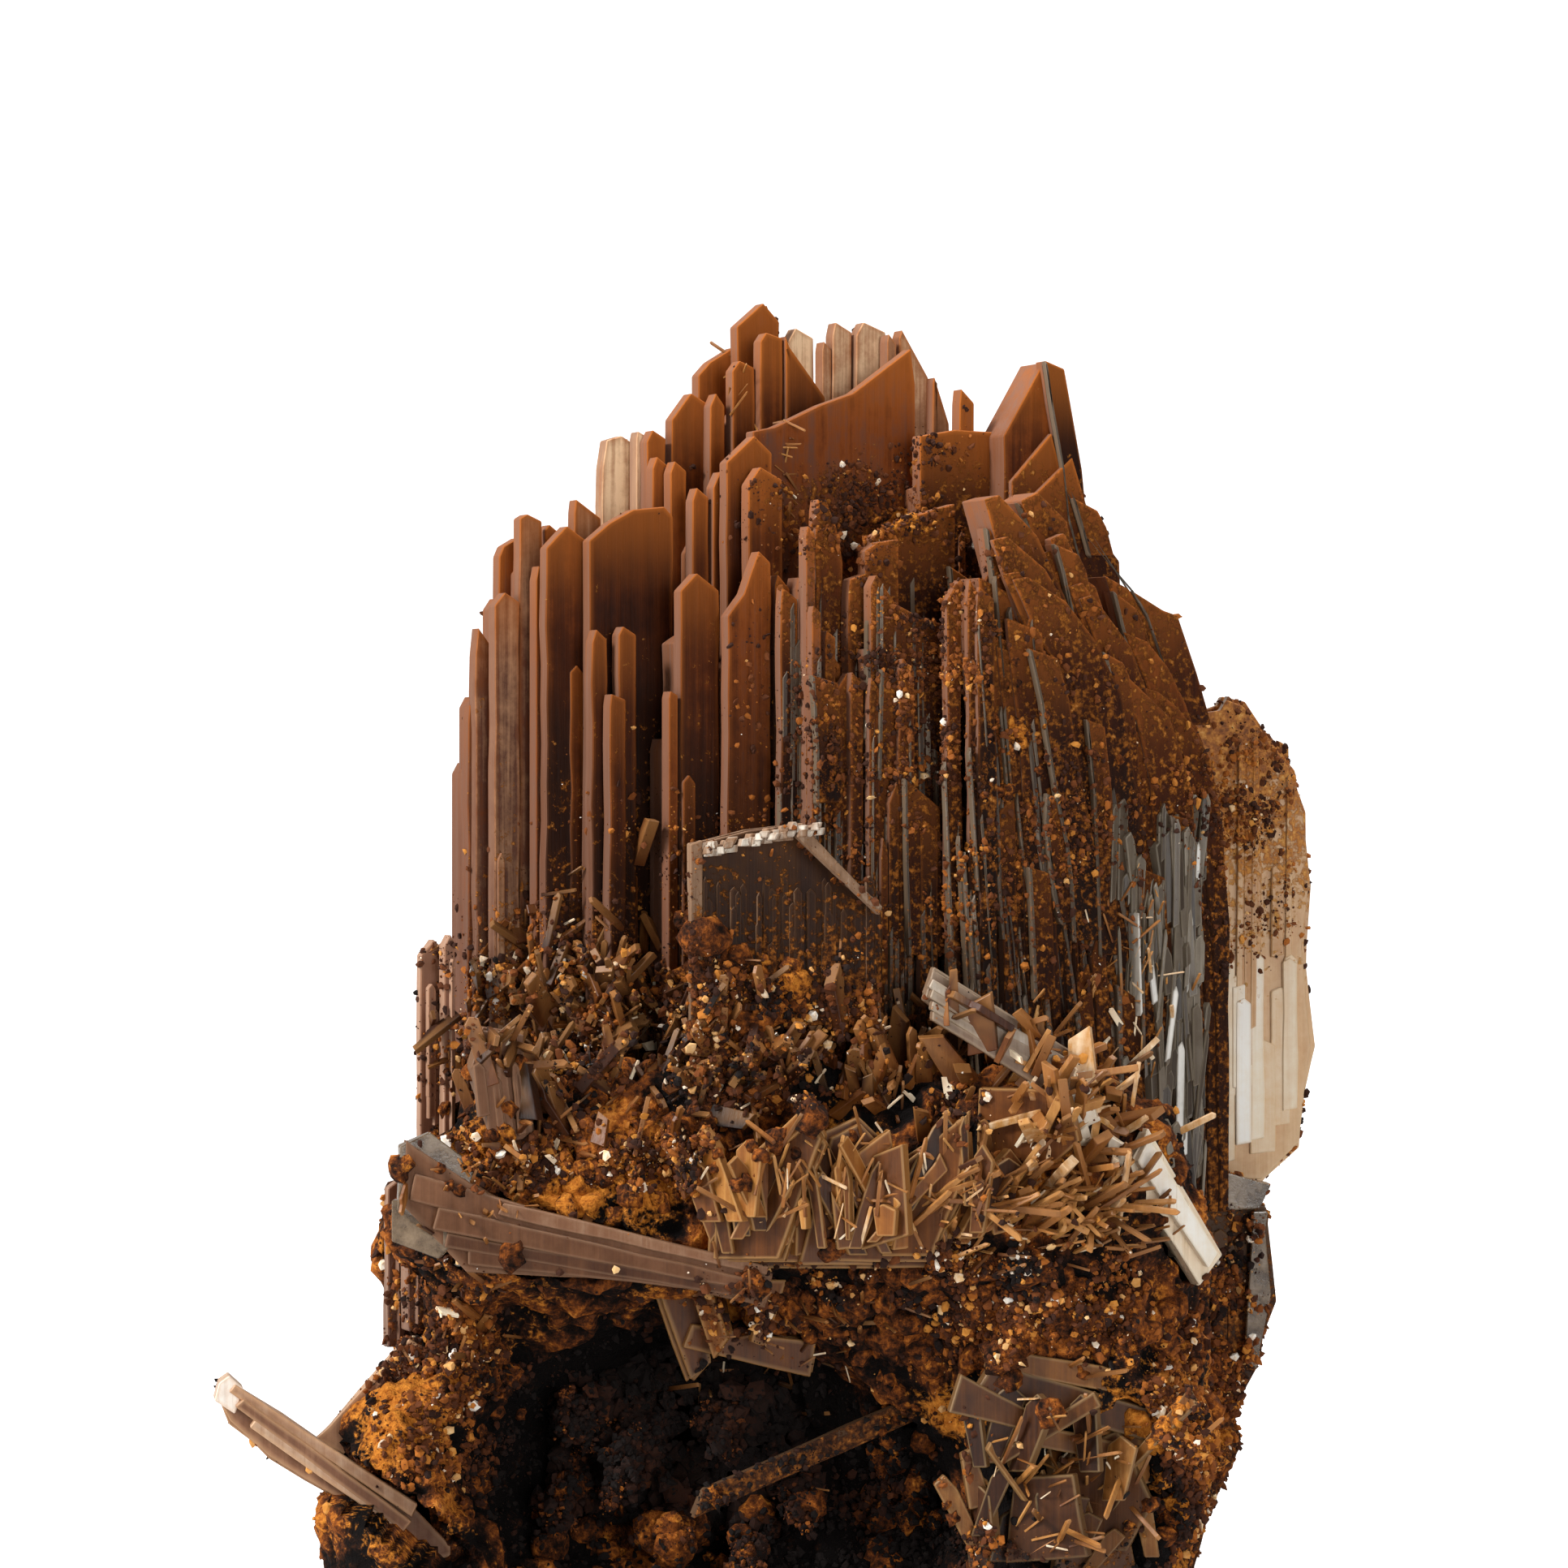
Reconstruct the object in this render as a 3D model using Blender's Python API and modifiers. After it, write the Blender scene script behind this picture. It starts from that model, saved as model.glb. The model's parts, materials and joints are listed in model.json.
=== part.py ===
"""Barite crystal cluster: a tall sheaf of brown blades on porous limonite with a deep hollow."""

import math
import random

import bmesh
import bpy
from mathutils import Vector, noise
from mathutils.geometry import intersect_line_plane

# All sizes are in millimetres and become metres at the end. Places are written as they show in
# the front view, in the plane y = 0, and each crystal then has the depth of its front left corner.
MM = 0.001
EYE = Vector((1.4, -295.0, 57.6))
SHIFT = Vector((-1.2, 1.4, 0.0))
GAP = 0.32
SIDE_TURN = 28
BLADE_THICK = 1.1
BLADE_FOOT = 33.0
LEAST_FACE = 0.6
TIP_INSET = 0.1
LEANING_THICK = 3.0
# The shorter and thicker growth behind each blade
BACKING_THICK = 3.4
BACKING_DROP = 3.5
BACKING_INSET = 0.25
BACKING_FOOT = 34.0
BACKING_PEAK = 0.8

# Each blade: left side, right side, left shoulder, tip points, right shoulder, depth
FRONT_BLADES = [
    (-20.5, -18.9, 61.8, [(-19.9, 63.0)], 62.0, -7.0),
    (-20.0, -18.4, 66.3, [(-19.3, 68.2)], 66.9, -7.6),
    (-18.7, -16.5, 69.7, [(-17.5, 70.6)], 69.9, -9.0),
    (-18.4, -16.6, 73.0, [(-17.6, 73.7)], 74.3, -6.0),
    (-17.0, -15.0, 75.6, [(-16.0, 75.9)], 75.4, -8.0),
    (-15.3, -13.8, 74.8, [(-14.5, 75.2)], 74.6, -6.4),
    (-15.9, -14.9, 71.4, [(-15.2, 72.4)], 71.8, -9.6),
    (-15.2, -12.0, 73.6, [(-13.3, 75.1)], 74.1, -11.0),
    (-13.3, -11.0, 76.0, [(-12.7, 76.9)], 75.6, -6.6),
    (-12.3, -6.1, 74.1, [(-10.4, 75.3), (-8.8, 76.2), (-6.7, 76.4)], 75.7, -11.0),
    (-12.1, -10.6, 67.2, [(-11.3, 68.1)], 67.4, -12.2),
    (-10.3, -8.6, 67.7, [(-9.5, 68.3)], 67.7, -12.0),
    (-10.9, -9.3, 62.9, [(-10.4, 63.7)], 63.3, -13.0),
    (-11.4, -8.7, 79.0, [(-10.6, 80.9), (-9.6, 81.2)], 80.6, -3.0),
    (-9.1, -8.0, 81.0, [(-8.6, 81.5)], 81.2, -3.4),
    (-8.4, -6.6, 80.8, [(-7.5, 81.6)], 81.0, -4.4),
    (-8.0, -6.5, 79.0, [(-7.2, 79.8)], 79.2, -5.6),
    (-6.8, -5.2, 78.7, [(-6.0, 79.5)], 78.8, -6.4),
    (-6.7, -3.5, 82.3, [(-4.9, 84.1)], 83.2, -3.6),
    (-4.1, -2.6, 83.2, [(-3.2, 84.1)], 83.2, -3.4),
    (-4.9, -2.0, 85.3, [(-3.6, 86.2)], 87.2, -0.6),
    (-2.3, 1.1, 88.6, [(0.0, 90.2)], 88.9, -0.4),
    (-2.6, -0.6, 85.6, [(-1.6, 86.3)], 85.8, -3.0),
    (-0.7, 1.3, 87.6, [(0.2, 88.2)], 87.8, -2.8),
    (1.0, 4.2, 88.0, [(1.8, 87.2)], 83.8, -2.2),
    (-5.3, -3.7, 76.8, [(-4.5, 77.7)], 77.0, -8.6),
    (-3.9, -2.6, 77.7, [(-2.9, 78.8)], 78.0, -8.2),
    (-3.0, 0.6, 79.4, [(-0.6, 81.2)], 80.0, -9.4),
    (-1.5, 1.3, 77.9, [(-0.2, 79.1)], 78.2, -10.4),
    (-6.1, -3.0, 70.7, [(-4.5, 71.9)], 70.7, -12.6),
    (-6.9, -6.3, 63.4, [(-6.6, 63.9)], 63.6, -13.0),
    (-2.9, 0.5, 69.0, [(-1.3, 70.5), (-0.8, 72.0), (-0.3, 73.4)], 72.6, -13.0),
    (0.3, 1.8, 71.0, [(1.0, 71.8)], 70.8, -11.2),
    (2.4, 3.4, 74.4, [(2.9, 75.1)], 74.5, -13.4),
    (2.8, 3.6, 69.2, [(3.2, 69.7)], 69.2, -14.0),
    (3.1, 5.4, 76.2, [(3.7, 76.9), (4.3, 76.8), (5.0, 74.9)], 72.6, -12.0),
    (3.7, 4.9, 67.4, [(4.3, 68.0)], 67.5, -13.4),
    (5.3, 7.1, 70.8, [(5.8, 71.5)], 71.9, -12.2),
    (-1.2, 10.3, 81.5, [(0.8, 81.8), (3.9, 83.3), (6.1, 84.1), (10.0, 87.1)], 84.7, -7.6),
    (6.8, 13.2, 71.0, [(7.7, 71.8), (9.0, 69.8), (10.7, 68.9)], 68.1, -13.2),
    (6.4, 9.2, 73.4, [(7.8, 74.0)], 74.2, -11.4),
    (6.8, 13.0, 74.3, [(8.3, 74.9), (10.3, 75.8)], 76.6, -9.6),
    (10.1, 16.4, 81.2, [(13.0, 81.6)], 81.4, -5.0),
    (12.8, 14.3, 83.4, [(13.4, 84.4)], 83.4, -3.4),
]
# The thin pale blades behind the crest, in the same form
REAR_BLADES = [
    (1.2, 3.4, 87.6, [(2.2, 88.5)], 87.8, 1.4),
    (3.5, 4.5, 87.0, [(4.0, 87.6)], 87.0, 0.8),
    (4.2, 6.0, 88.0, [(4.9, 88.9)], 88.2, 1.0),
    (5.8, 8.3, 88.0, [(6.8, 88.9)], 88.2, 1.4),
    (7.9, 8.9, 87.6, [(8.4, 88.1)], 87.4, 1.0),
    (8.7, 11.2, 87.8, [(9.4, 88.4)], 85.1, 1.6),
    (11.0, 12.6, 84.8, [(11.6, 85.2)], 82.0, 1.8),
]
# The leaning blades of the right side: outline from the left foot, then depth
LEANING_BLADES = [
    ([(16.3, BLADE_FOOT), (15.6, 58.7), (14.9, 67), (14.6, 71.6), (17.0, 70.4), (20.0, BLADE_FOOT)], -12.0),
    ([(20.8, BLADE_FOOT), (20.3, 48), (19.4, 59), (18.2, 66.4), (16.8, 70.1), (15.0, 76.9), (16.0, 77.2),
      (18.6, 74.4), (20.6, 70), (22.4, 64), (23.6, 56), (24.4, BLADE_FOOT)], -9.6),
    ([(20.2, BLADE_FOOT), (19.6, 70), (17.5, 76.8), (18.6, 77.4), (20.6, 75.4), (22.6, 66),
      (23.4, BLADE_FOOT)], -8.2),
    ([(23.6, BLADE_FOOT), (23.0, 52), (22.2, 62), (20.8, 69.1), (19.5, 74.2), (20.4, 74.6), (23.0, 69.5),
      (25.4, 60), (26.2, BLADE_FOOT)], -7.4),
    ([(25.2, BLADE_FOOT), (24.8, 50), (24.3, 59), (23.4, 64.6), (22.0, 68.5), (22.9, 68.6), (25.6, 65),
      (27.2, 58), (28.2, BLADE_FOOT)], -7.0),
    ([(29.0, BLADE_FOOT), (28.7, 44), (28.0, 54), (26.1, 61), (24.6, 67.4), (23.2, 71.7), (24.8, 70.8),
      (26.2, 68.4), (27.4, 65), (28.4, 61), (29.2, 55), (29.7, 48), (29.6, BLADE_FOOT)], -3.4),
    ([(16.3, BLADE_FOOT), (16.3, 81.2), (19.0, 86.2), (20.4, 77.5), (22.2, 73.1), (23.2, BLADE_FOOT)], -4.2),
    ([(19.6, BLADE_FOOT), (20.1, 76.4), (21.0, 77.0), (22.7, 73.4), (24.9, 66), (26.0, BLADE_FOOT)], -1.6),
    ([(22.9, BLADE_FOOT), (23.0, 70), (24.7, 70.8), (26.0, 68.8), (27.9, 62), (28.6, 52), (28.8, BLADE_FOOT)], -1.0),
]
# The outline of the sheaf's foot where it grows out of the limonite, seen from above
FOOT_PLAN = [(-20.6, -7.5), (-14.0, -14.0), (-6.0, -15.6), (4.0, -16.0), (13.0, -15.4), (20.0, -13.2),
             (26.0, -8.4), (29.4, -3.8), (28.6, 3.4), (25.6, 11.0), (19.0, 16.0), (2.0, 17.4),
             (-14.0, 16.6), (-19.0, 10.5), (-20.6, 0.0)]
FOOT_BOTTOM = 28.0
FOOT_TOP = 34.5
POCKET_TOP = 62.0
# The top of the sheaf, from left to right, and the rows that step down from it behind
CREST_LINE = [(-20.0, 62), (-17.5, 72), (-12, 75), (-7, 80), (-3, 84), (3, 86), (10, 84), (14, 80),
              (19, 80), (21, 73), (24, 67), (27, 58), (29, 48)]
BACK_ROWS = [(1.6, 2.0), (4.6, 5.0), (7.6, 11.5), (10.2, 20.0)]
BACK_TAPER = 0.35
BACK_LEFT = -18.6
BACK_LAST = 25.5
BACK_RIGHT = 27.2
BACK_WIDTHS = (3.0, 5.6)
BACK_DROPS = (0.6, 3.4)
BACK_TIPS = (0.3, 0.7)
BACK_STEPS = (0.0, 0.8)
BACK_SHOULDERS = (1.4, 1.2)
BACK_OVERLAP = 0.7
BACK_THICK = 3.6

# Lumps of limonite and the hollows in them: middle and half sizes
LIMONITE_LUMPS = [
    ((3, 2, 12), (27, 19, 20)), ((2, 10, 22), (24, 12, 17)), ((-12, -14, 29), (13, 9, 5.2)),
    ((14, -13, 28.5), (16, 9, 6.5)), ((21, -10, 15), (9, 12, 15)), ((-22, -14, 10), (6.5, 9, 11)),
    ((-9, -13, 35), (12.5, 6.5, 6.5)), ((14, -13, 35), (14, 7, 5)), ((0, -16, 40), (6, 4.5, 4.5)),
    ((0, -6, 1), (27, 19, 5)), ((-20, -4, 26), (6, 9, 9)), ((24, 4, 22), (7, 10, 13)),
]
HOLLOWS = [
    ((-6, -18, 13.5), (13.6, 17, 10.4)), ((5, -18, 11.0), (9, 13, 7.6)), ((20.5, -22, 11.5), (6.6, 9, 5.4)),
    ((3, -20, 38), (3.2, 5.0, 3.0)),
]
CRAG_SEED = 5
CRAG_SIZE = 5.5
CRAG_REACH = 1.5
FINE_CRAG_SIZE = 0.45
FINE_CRAG_REACH = 0.35
FINE_CRAG_SHIFT = Vector((9, 3, 5))
BLEND_GRAIN = 1.9
BODY_GRAIN = 2.75
# The crust in the hollow: its bed on the back wall, and spikes as foot, tip and foot radius
CRUST_BED = ((-5, -3.4, 13.5), (10, 3.0, 7.0))
CRUST_SPIKES = [
    ((-8, -5, 16), (-9.5, -12, 12), 1.9), ((-11, -5, 17), (-13.0, -11, 15.5), 1.7),
    ((-2, -5, 17), (-2.4, -13, 14), 1.8), ((-5, -5, 11), (-6.5, -12, 7.6), 1.9),
    ((-12, -5, 12), (-14.0, -11, 9.4), 1.7), ((2, -5, 12), (3.0, -13, 9), 1.7),
    ((-7, -5, 13), (-10, -12, 11.4), 1.5), ((0, -5, 10), (-1.4, -13, 6.0), 1.6),
]
SPIKE_SIDES = 6
SPIKE_TIP = 0.2
LUMP_DETAIL = 3
BED_DETAIL = 2
# Working volumes that are larger than the whole specimen
ROOM_PLAN = [(-60, -60), (60, -60), (60, 60), (-60, 60)]
ROOM_BOTTOM = -20
ROOM_TOP = 120
GROUND_BOTTOM = -40


def seen(x, y, z):
    """The point at depth y that shows at x and z in the front view."""
    return EYE + (Vector((x, 0.0, z)) - EYE) * (y - EYE.y) / -EYE.y


def finish(name, mesh, colour, roughness, collection):
    """Name an object, put it in a collection and give it its material."""
    shape = bpy.data.objects.new(name, mesh)
    collection.objects.link(shape)
    material = bpy.data.materials.new(name)
    material.use_nodes = True
    shader = material.node_tree.nodes["Principled BSDF"]
    shader.inputs["Base Color"].default_value = (*colour, 1.0)
    shader.inputs["Roughness"].default_value = roughness
    mesh.materials.clear()
    mesh.materials.append(material)
    return shape


def mesh_from(bm, name):
    """Turn faces outwards, change millimetres to metres and store the mesh."""
    bmesh.ops.recalc_face_normals(bm, faces=bm.faces)
    bmesh.ops.translate(bm, verts=bm.verts, vec=SHIFT)
    bmesh.ops.scale(bm, verts=bm.verts, vec=(MM, MM, MM))
    mesh = bpy.data.meshes.new(name)
    bm.to_mesh(mesh)
    bm.free()
    return mesh


def plate(bm, outline, depth, thick=BLADE_THICK, turn=SIDE_TURN, rake=0.0):
    """Add a flat crystal with an outline as it shows from the front."""
    yaw = math.radians(turn)
    pitch = math.radians(rake)
    facing = Vector((math.sin(yaw) * math.cos(pitch), -math.cos(yaw) * math.cos(pitch), math.sin(pitch)))
    corner = seen(outline[0][0], depth, outline[0][1])
    front = [intersect_line_plane(EYE, Vector((x, 0.0, z)), corner, facing) for x, z in outline]
    face = bm.faces.new([bm.verts.new(point) for point in front])
    copied = bmesh.ops.extrude_face_region(bm, geom=[face])
    back = [item for item in copied["geom"] if isinstance(item, bmesh.types.BMVert)]
    bmesh.ops.translate(bm, verts=back, vec=-facing * thick)


def blade(bm, left, right, left_shoulder, tips, right_shoulder, depth):
    """Add an upright blade, and the shorter and thicker growth behind it."""
    edge = left + BLADE_THICK * math.sin(math.radians(SIDE_TURN))
    right = max(right, edge + LEAST_FACE)
    top = [(max(x, edge + TIP_INSET), z) for x, z in tips]
    outline = [(edge, BLADE_FOOT), (edge, left_shoulder), *top, (right, right_shoulder), (right, BLADE_FOOT)]
    plate(bm, outline, depth)
    low = min(left_shoulder, right_shoulder) - BACKING_DROP
    behind = depth + BLADE_THICK / 2
    inner = edge + BACKING_INSET
    plate(bm, [(inner, BACKING_FOOT), (inner, low), ((inner + right) / 2, low + BACKING_PEAK), (right, low),
               (right, BACKING_FOOT)], behind, BACKING_THICK)


def crest_height(x):
    """Height of the sheaf's top at x, from the crest line."""
    for (x0, z0), (x1, z1) in zip(CREST_LINE, CREST_LINE[1:]):
        if x <= x1:
            return z0 + (z1 - z0) * max(0.0, (x - x0) / (x1 - x0))
    return CREST_LINE[-1][1]


def back_rows(bm):
    """Add the rows of blades that step down behind the crest."""
    chance = random.Random(11)
    for depth, drop in BACK_ROWS:
        narrowing = depth * BACK_TAPER
        x = BACK_LEFT + narrowing
        while x < BACK_LAST - narrowing:
            width = chance.uniform(*BACK_WIDTHS)
            right = min(x + width, BACK_RIGHT - narrowing)
            top = min(crest_height(x), crest_height(right)) - drop - chance.uniform(*BACK_DROPS)
            tip = x + (right - x) * chance.uniform(*BACK_TIPS)
            plate(bm, [(x, BLADE_FOOT), (x, top - BACK_SHOULDERS[0]), (tip, top), (right, top - BACK_SHOULDERS[1]),
                       (right, BLADE_FOOT)], depth - chance.uniform(*BACK_STEPS), BACK_THICK)
            x = right - BACK_OVERLAP


def joined(bm, name):
    """Unite the overlapping shells of a mesh into one solid."""
    whole = loose(name + "_shells", bm)
    room = bmesh.new()
    prism(room, ROOM_PLAN, ROOM_BOTTOM, ROOM_TOP)
    space = loose(name + "_room", room)
    mesh = combined(whole, space, "INTERSECT")
    bpy.data.objects.remove(space)
    bpy.data.objects.remove(whole)
    return mesh


def combined(target, tool, operation):
    """Return the mesh of a Boolean of two objects."""
    step = target.modifiers.new("join", "BOOLEAN")
    step.operation = operation
    step.solver = "EXACT"
    step.use_self = True
    step.object = tool
    bpy.context.view_layer.update()
    evaluated = target.evaluated_get(bpy.context.evaluated_depsgraph_get())
    mesh = bpy.data.meshes.new_from_object(evaluated)
    target.modifiers.clear()
    return mesh


def crystal_bmesh(plates):
    """A mesh with one shell for each plate: outline, depth, thickness, turn and rake."""
    bm = bmesh.new()
    for values in plates:
        plate(bm, *values)
    return bm


def grown(bm):
    """Swell each shell by the gap that is kept to its neighbours."""
    bmesh.ops.recalc_face_normals(bm, faces=bm.faces)
    bm.normal_update()
    moves = [vert.normal * vert.calc_shell_factor() * GAP for vert in bm.verts]
    for vert, move in zip(bm.verts, moves):
        vert.co += move


def add_swollen(cutters, bm):
    """Swell a mesh by the gap and add it to the cutters."""
    grown(bm)
    scratch = bpy.data.meshes.new("scratch")
    bm.to_mesh(scratch)
    bm.free()
    cutters.from_mesh(scratch)
    bpy.data.meshes.remove(scratch)


def prism(bm, plan, bottom, top):
    """Add an upright prism on a plan outline."""
    face = bm.faces.new([bm.verts.new((x, y, bottom)) for x, y in plan])
    copied = bmesh.ops.extrude_face_region(bm, geom=[face])
    upper = [item for item in copied["geom"] if isinstance(item, bmesh.types.BMVert)]
    bmesh.ops.translate(bm, verts=upper, vec=(0, 0, top - bottom))


def spike(bm, foot, tip, radius):
    """Add a pointed spike of crust."""
    start = Vector(foot)
    along = Vector(tip) - start
    made = bmesh.ops.create_cone(bm, cap_ends=True, segments=SPIKE_SIDES, radius1=radius,
                                 radius2=radius * SPIKE_TIP, depth=along.length)
    bmesh.ops.rotate(bm, verts=made["verts"], matrix=along.to_track_quat("Z", "Y").to_matrix())
    bmesh.ops.translate(bm, verts=made["verts"], vec=start + along / 2)


def lump(bm, middle, half_sizes, detail=LUMP_DETAIL):
    """Add a rounded lump."""
    made = bmesh.ops.create_icosphere(bm, subdivisions=detail, radius=1.0)
    bmesh.ops.scale(bm, verts=made["verts"], vec=half_sizes)
    bmesh.ops.translate(bm, verts=made["verts"], vec=middle)


def loose(name, bm):
    """Link a working object for a shell mesh."""
    shape = bpy.data.objects.new(name, mesh_from(bm, name))
    bpy.context.scene.collection.objects.link(shape)
    return shape


def crag(mesh):
    """Push a surface about so that it is rough all over, the same way at every run, without folding it."""
    noise.seed_set(CRAG_SEED)
    for vert in mesh.vertices:
        place = vert.co / MM - SHIFT
        push = noise.noise_vector(place / CRAG_SIZE) * CRAG_REACH
        finer = place / (CRAG_SIZE * FINE_CRAG_SIZE) + FINE_CRAG_SHIFT
        push += noise.noise_vector(finer) * CRAG_REACH * FINE_CRAG_REACH
        vert.co += push * MM


def evened(shape, grain):
    """The mesh of a shape made again with faces of one size."""
    again = shape.modifiers.new("blend", "REMESH")
    again.mode = "VOXEL"
    again.voxel_size = grain * MM
    bpy.context.view_layer.update()
    mesh = bpy.data.meshes.new_from_object(shape.evaluated_get(bpy.context.evaluated_depsgraph_get()))
    shape.modifiers.clear()
    return mesh


def lumps(name, values):
    """A working object of overlapping lumps."""
    bm = bmesh.new()
    for middle, half_sizes in values:
        lump(bm, middle, half_sizes)
    return loose(name, bm)


def limonite_mesh(cutters):
    """The porous body: lumps joined, hollowed, roughened, cut flat below and cut for the crystals."""
    body = lumps("lumps", LIMONITE_LUMPS)
    body.data = evened(body, BLEND_GRAIN)
    hollows = lumps("hollows", HOLLOWS)
    body.data = combined(body, hollows, "DIFFERENCE")
    rough = evened(body, BODY_GRAIN)
    crag(rough)
    body.data = rough
    below = bmesh.new()
    prism(below, ROOM_PLAN, GROUND_BOTTOM, 0)
    ground = loose("ground", below)
    body.data = combined(body, ground, "DIFFERENCE")
    cut = loose("cut", cutters)
    body.data = combined(body, cut, "DIFFERENCE")
    result = largest_piece(body.data)
    for item in (body, hollows, ground, cut):
        bpy.data.objects.remove(item)
    return result


def largest_piece(mesh):
    """Keep only the largest connected piece of a mesh."""
    bm = bmesh.new()
    bm.from_mesh(mesh)
    left = set(bm.verts)
    pieces = []
    while left:
        found = {left.pop()}
        waiting = list(found)
        while waiting:
            for edge in waiting.pop().link_edges:
                for vert in edge.verts:
                    if vert in left:
                        left.remove(vert)
                        found.add(vert)
                        waiting.append(vert)
        pieces.append(found)
    pieces.sort(key=len)
    for piece in pieces[:-1]:
        bmesh.ops.delete(bm, geom=list(piece), context="VERTS")
    bm.to_mesh(mesh)
    bm.free()
    return mesh


# Smaller crystals: name, colour, roughness and plates as outline, depth, thickness, turn and rake
CRYSTALS = [
    ("striated_block", (0.09, 0.035, 0.018), 0.5, [
        ([(-4.8, 40.4), (-4.8, 53.4), (-1.0, 54.4), (2.5, 54.9), (6.6, 50.5), (8.0, 49.2), (8.0, 41.6)],
         -19.6, 2.2, 16, 0)]),
    ("pale_slab", (0.55, 0.36, 0.2), 0.35, [
        ([(28.2, 31.0), (28.4, 62.2), (31.0, 62.6), (31.4, 63.3), (32.5, 62.9), (34.4, 60.4), (36.0, 58.2),
          (36.6, 55.4), (37.0, 51.0), (36.5, 46.7), (37.1, 39.8), (36.3, 33.3), (33.8, 30.8)],
         4.6, 4.6, 8, 0)]),
    ("dark_slab", (0.1, 0.05, 0.02), 0.7, [
        ([(27.6, 4.0), (27.6, 26.8), (30.4, 29.2), (34.1, 28.9), (33.8, 27.6), (34.3, 23.0), (33.3, 18.1), (31.8, 15.0),
          (32.0, 13.0), (29.9, 8.5), (28.6, 4.0)], 1.0, 6.0, 8, 0)]),
    ("twin_blades", (0.3, 0.16, 0.11), 0.4, [
        ([(-23.2, 31.5), (-23.2, 46.0), (-22.3, 47.0), (-21.9, 46.6), (-21.9, 31.5)], -11.5, 1.4, 28, 0),
        ([(-21.6, 31.5), (-21.6, 46.6), (-21.2, 47.4), (-20.9, 46.8), (-20.9, 31.5)], -12.2, 1.8, 28, 0)]),
    ("left_blades", (0.3, 0.16, 0.11), 0.4, [
        ([(-25.4, 19.5), (-25.4, 30.2), (-24.6, 30.8), (-23.6, 29.8), (-23.6, 19.5)], -10.0, 1.4, 28, 0),
        ([(-24.0, 20.5), (-24.0, 28.6), (-23.2, 29.4), (-22.0, 28.4), (-22.0, 20.5)], -11.6, 2.6, 28, 0)]),
    ("shelf_crystal", (0.4, 0.28, 0.24), 0.3, [
        ([(-24.4, 29.0), (-24.2, 33.4), (-16.5, 28.4), (0.6, 24.3), (0.0, 22.2), (-7.6, 23.9), (-20.1, 24.5)],
         -24.4, 5.0, 6, 0)]),
    ("glassy_slab", (0.35, 0.2, 0.13), 0.25, [
        ([(11.0, 43.2), (11.5, 45.0), (22.4, 38.6), (21.4, 35.2)], -20.4, 3.0, 12, 0)]),
    ("cream_crystal", (0.8, 0.68, 0.5), 0.25, [
        ([(24.6, 31.4), (26.0, 34.0), (31.0, 25.6), (29.6, 23.6)], -18.8, 3.2, 20, 0)]),
    ("ledge_blades", (0.4, 0.24, 0.13), 0.3, [
        ([(-3.4, 25.4), (-3.2, 30.6), (2.6, 35.4), (3.9, 33.6), (1.0, 25.4)], -23.0, 2.4, -18, 0),
        ([(2.4, 25.0), (4.6, 33.6), (6.6, 34.6), (9.0, 32.0), (8.4, 25.0)], -23.4, 2.2, 14, 0),
        ([(8.0, 25.6), (9.4, 31.8), (13.8, 35.2), (13.2, 30.0), (11.4, 25.6)], -23.0, 2.2, -12, 0),
        ([(-3.0, 25.2), (-2.6, 27.4), (12.4, 27.8), (12.8, 25.2)], -22.8, 4.6, 0, 0)]),
    ("pale_stump", (0.62, 0.5, 0.38), 0.3, [
        ([(-19.8, 38.4), (-19.0, 40.9), (-16.2, 40.6), (-16.4, 38.6), (-15.4, 33.0), (-17.6, 32.4)],
         -21.6, 3.0, 20, 0)]),
    ("hanging_blades", (0.42, 0.25, 0.13), 0.35, [
        ([(-7.9, 25.6), (-4.9, 25.6), (-3.5, 18.4), (-4.9, 17.2)], -15.6, 1.6, 10, 0),
        ([(-5.4, 19.4), (-4.8, 21.0), (3.6, 19.8), (3.2, 17.4)], -15.8, 1.8, 14, 0)]),
    ("hollow_spar", (0.2, 0.12, 0.07), 0.6, [
        ([(-4.6, 8.0), (-4.0, 9.8), (10.6, 16.2), (10.4, 14.6)], -18.4, 1.8, 22, 0)]),
    ("left_spar", (0.45, 0.24, 0.15), 0.3, [
        ([(-37.1, 16.2), (-36.4, 17.2), (-32.6, 14.9), (-24.0, 8.9), (-20.6, 5.4), (-23.6, 4.6),
          (-26.4, 7.7), (-33.3, 11.9), (-36.1, 14.4)], -17.4, 3.0, 10, 0)]),
    ("hollow_plates", (0.5, 0.42, 0.34), 0.25, [
        ([(14.4, 16.4), (15.6, 18.4), (26.4, 15.2), (25.6, 13.2)], -21.0, 2.6, 6, 0),
        ([(19.0, 6.0), (20.0, 12.0), (24.0, 13.8), (26.4, 8.8), (24.6, 5.6)], -18.6, 2.0, -14, 0),
        ([(22.6, 7.4), (22.4, 14.8), (25.4, 14.6), (26.6, 7.2)], -17.9, 1.8, 20, 0)]),
]


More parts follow.
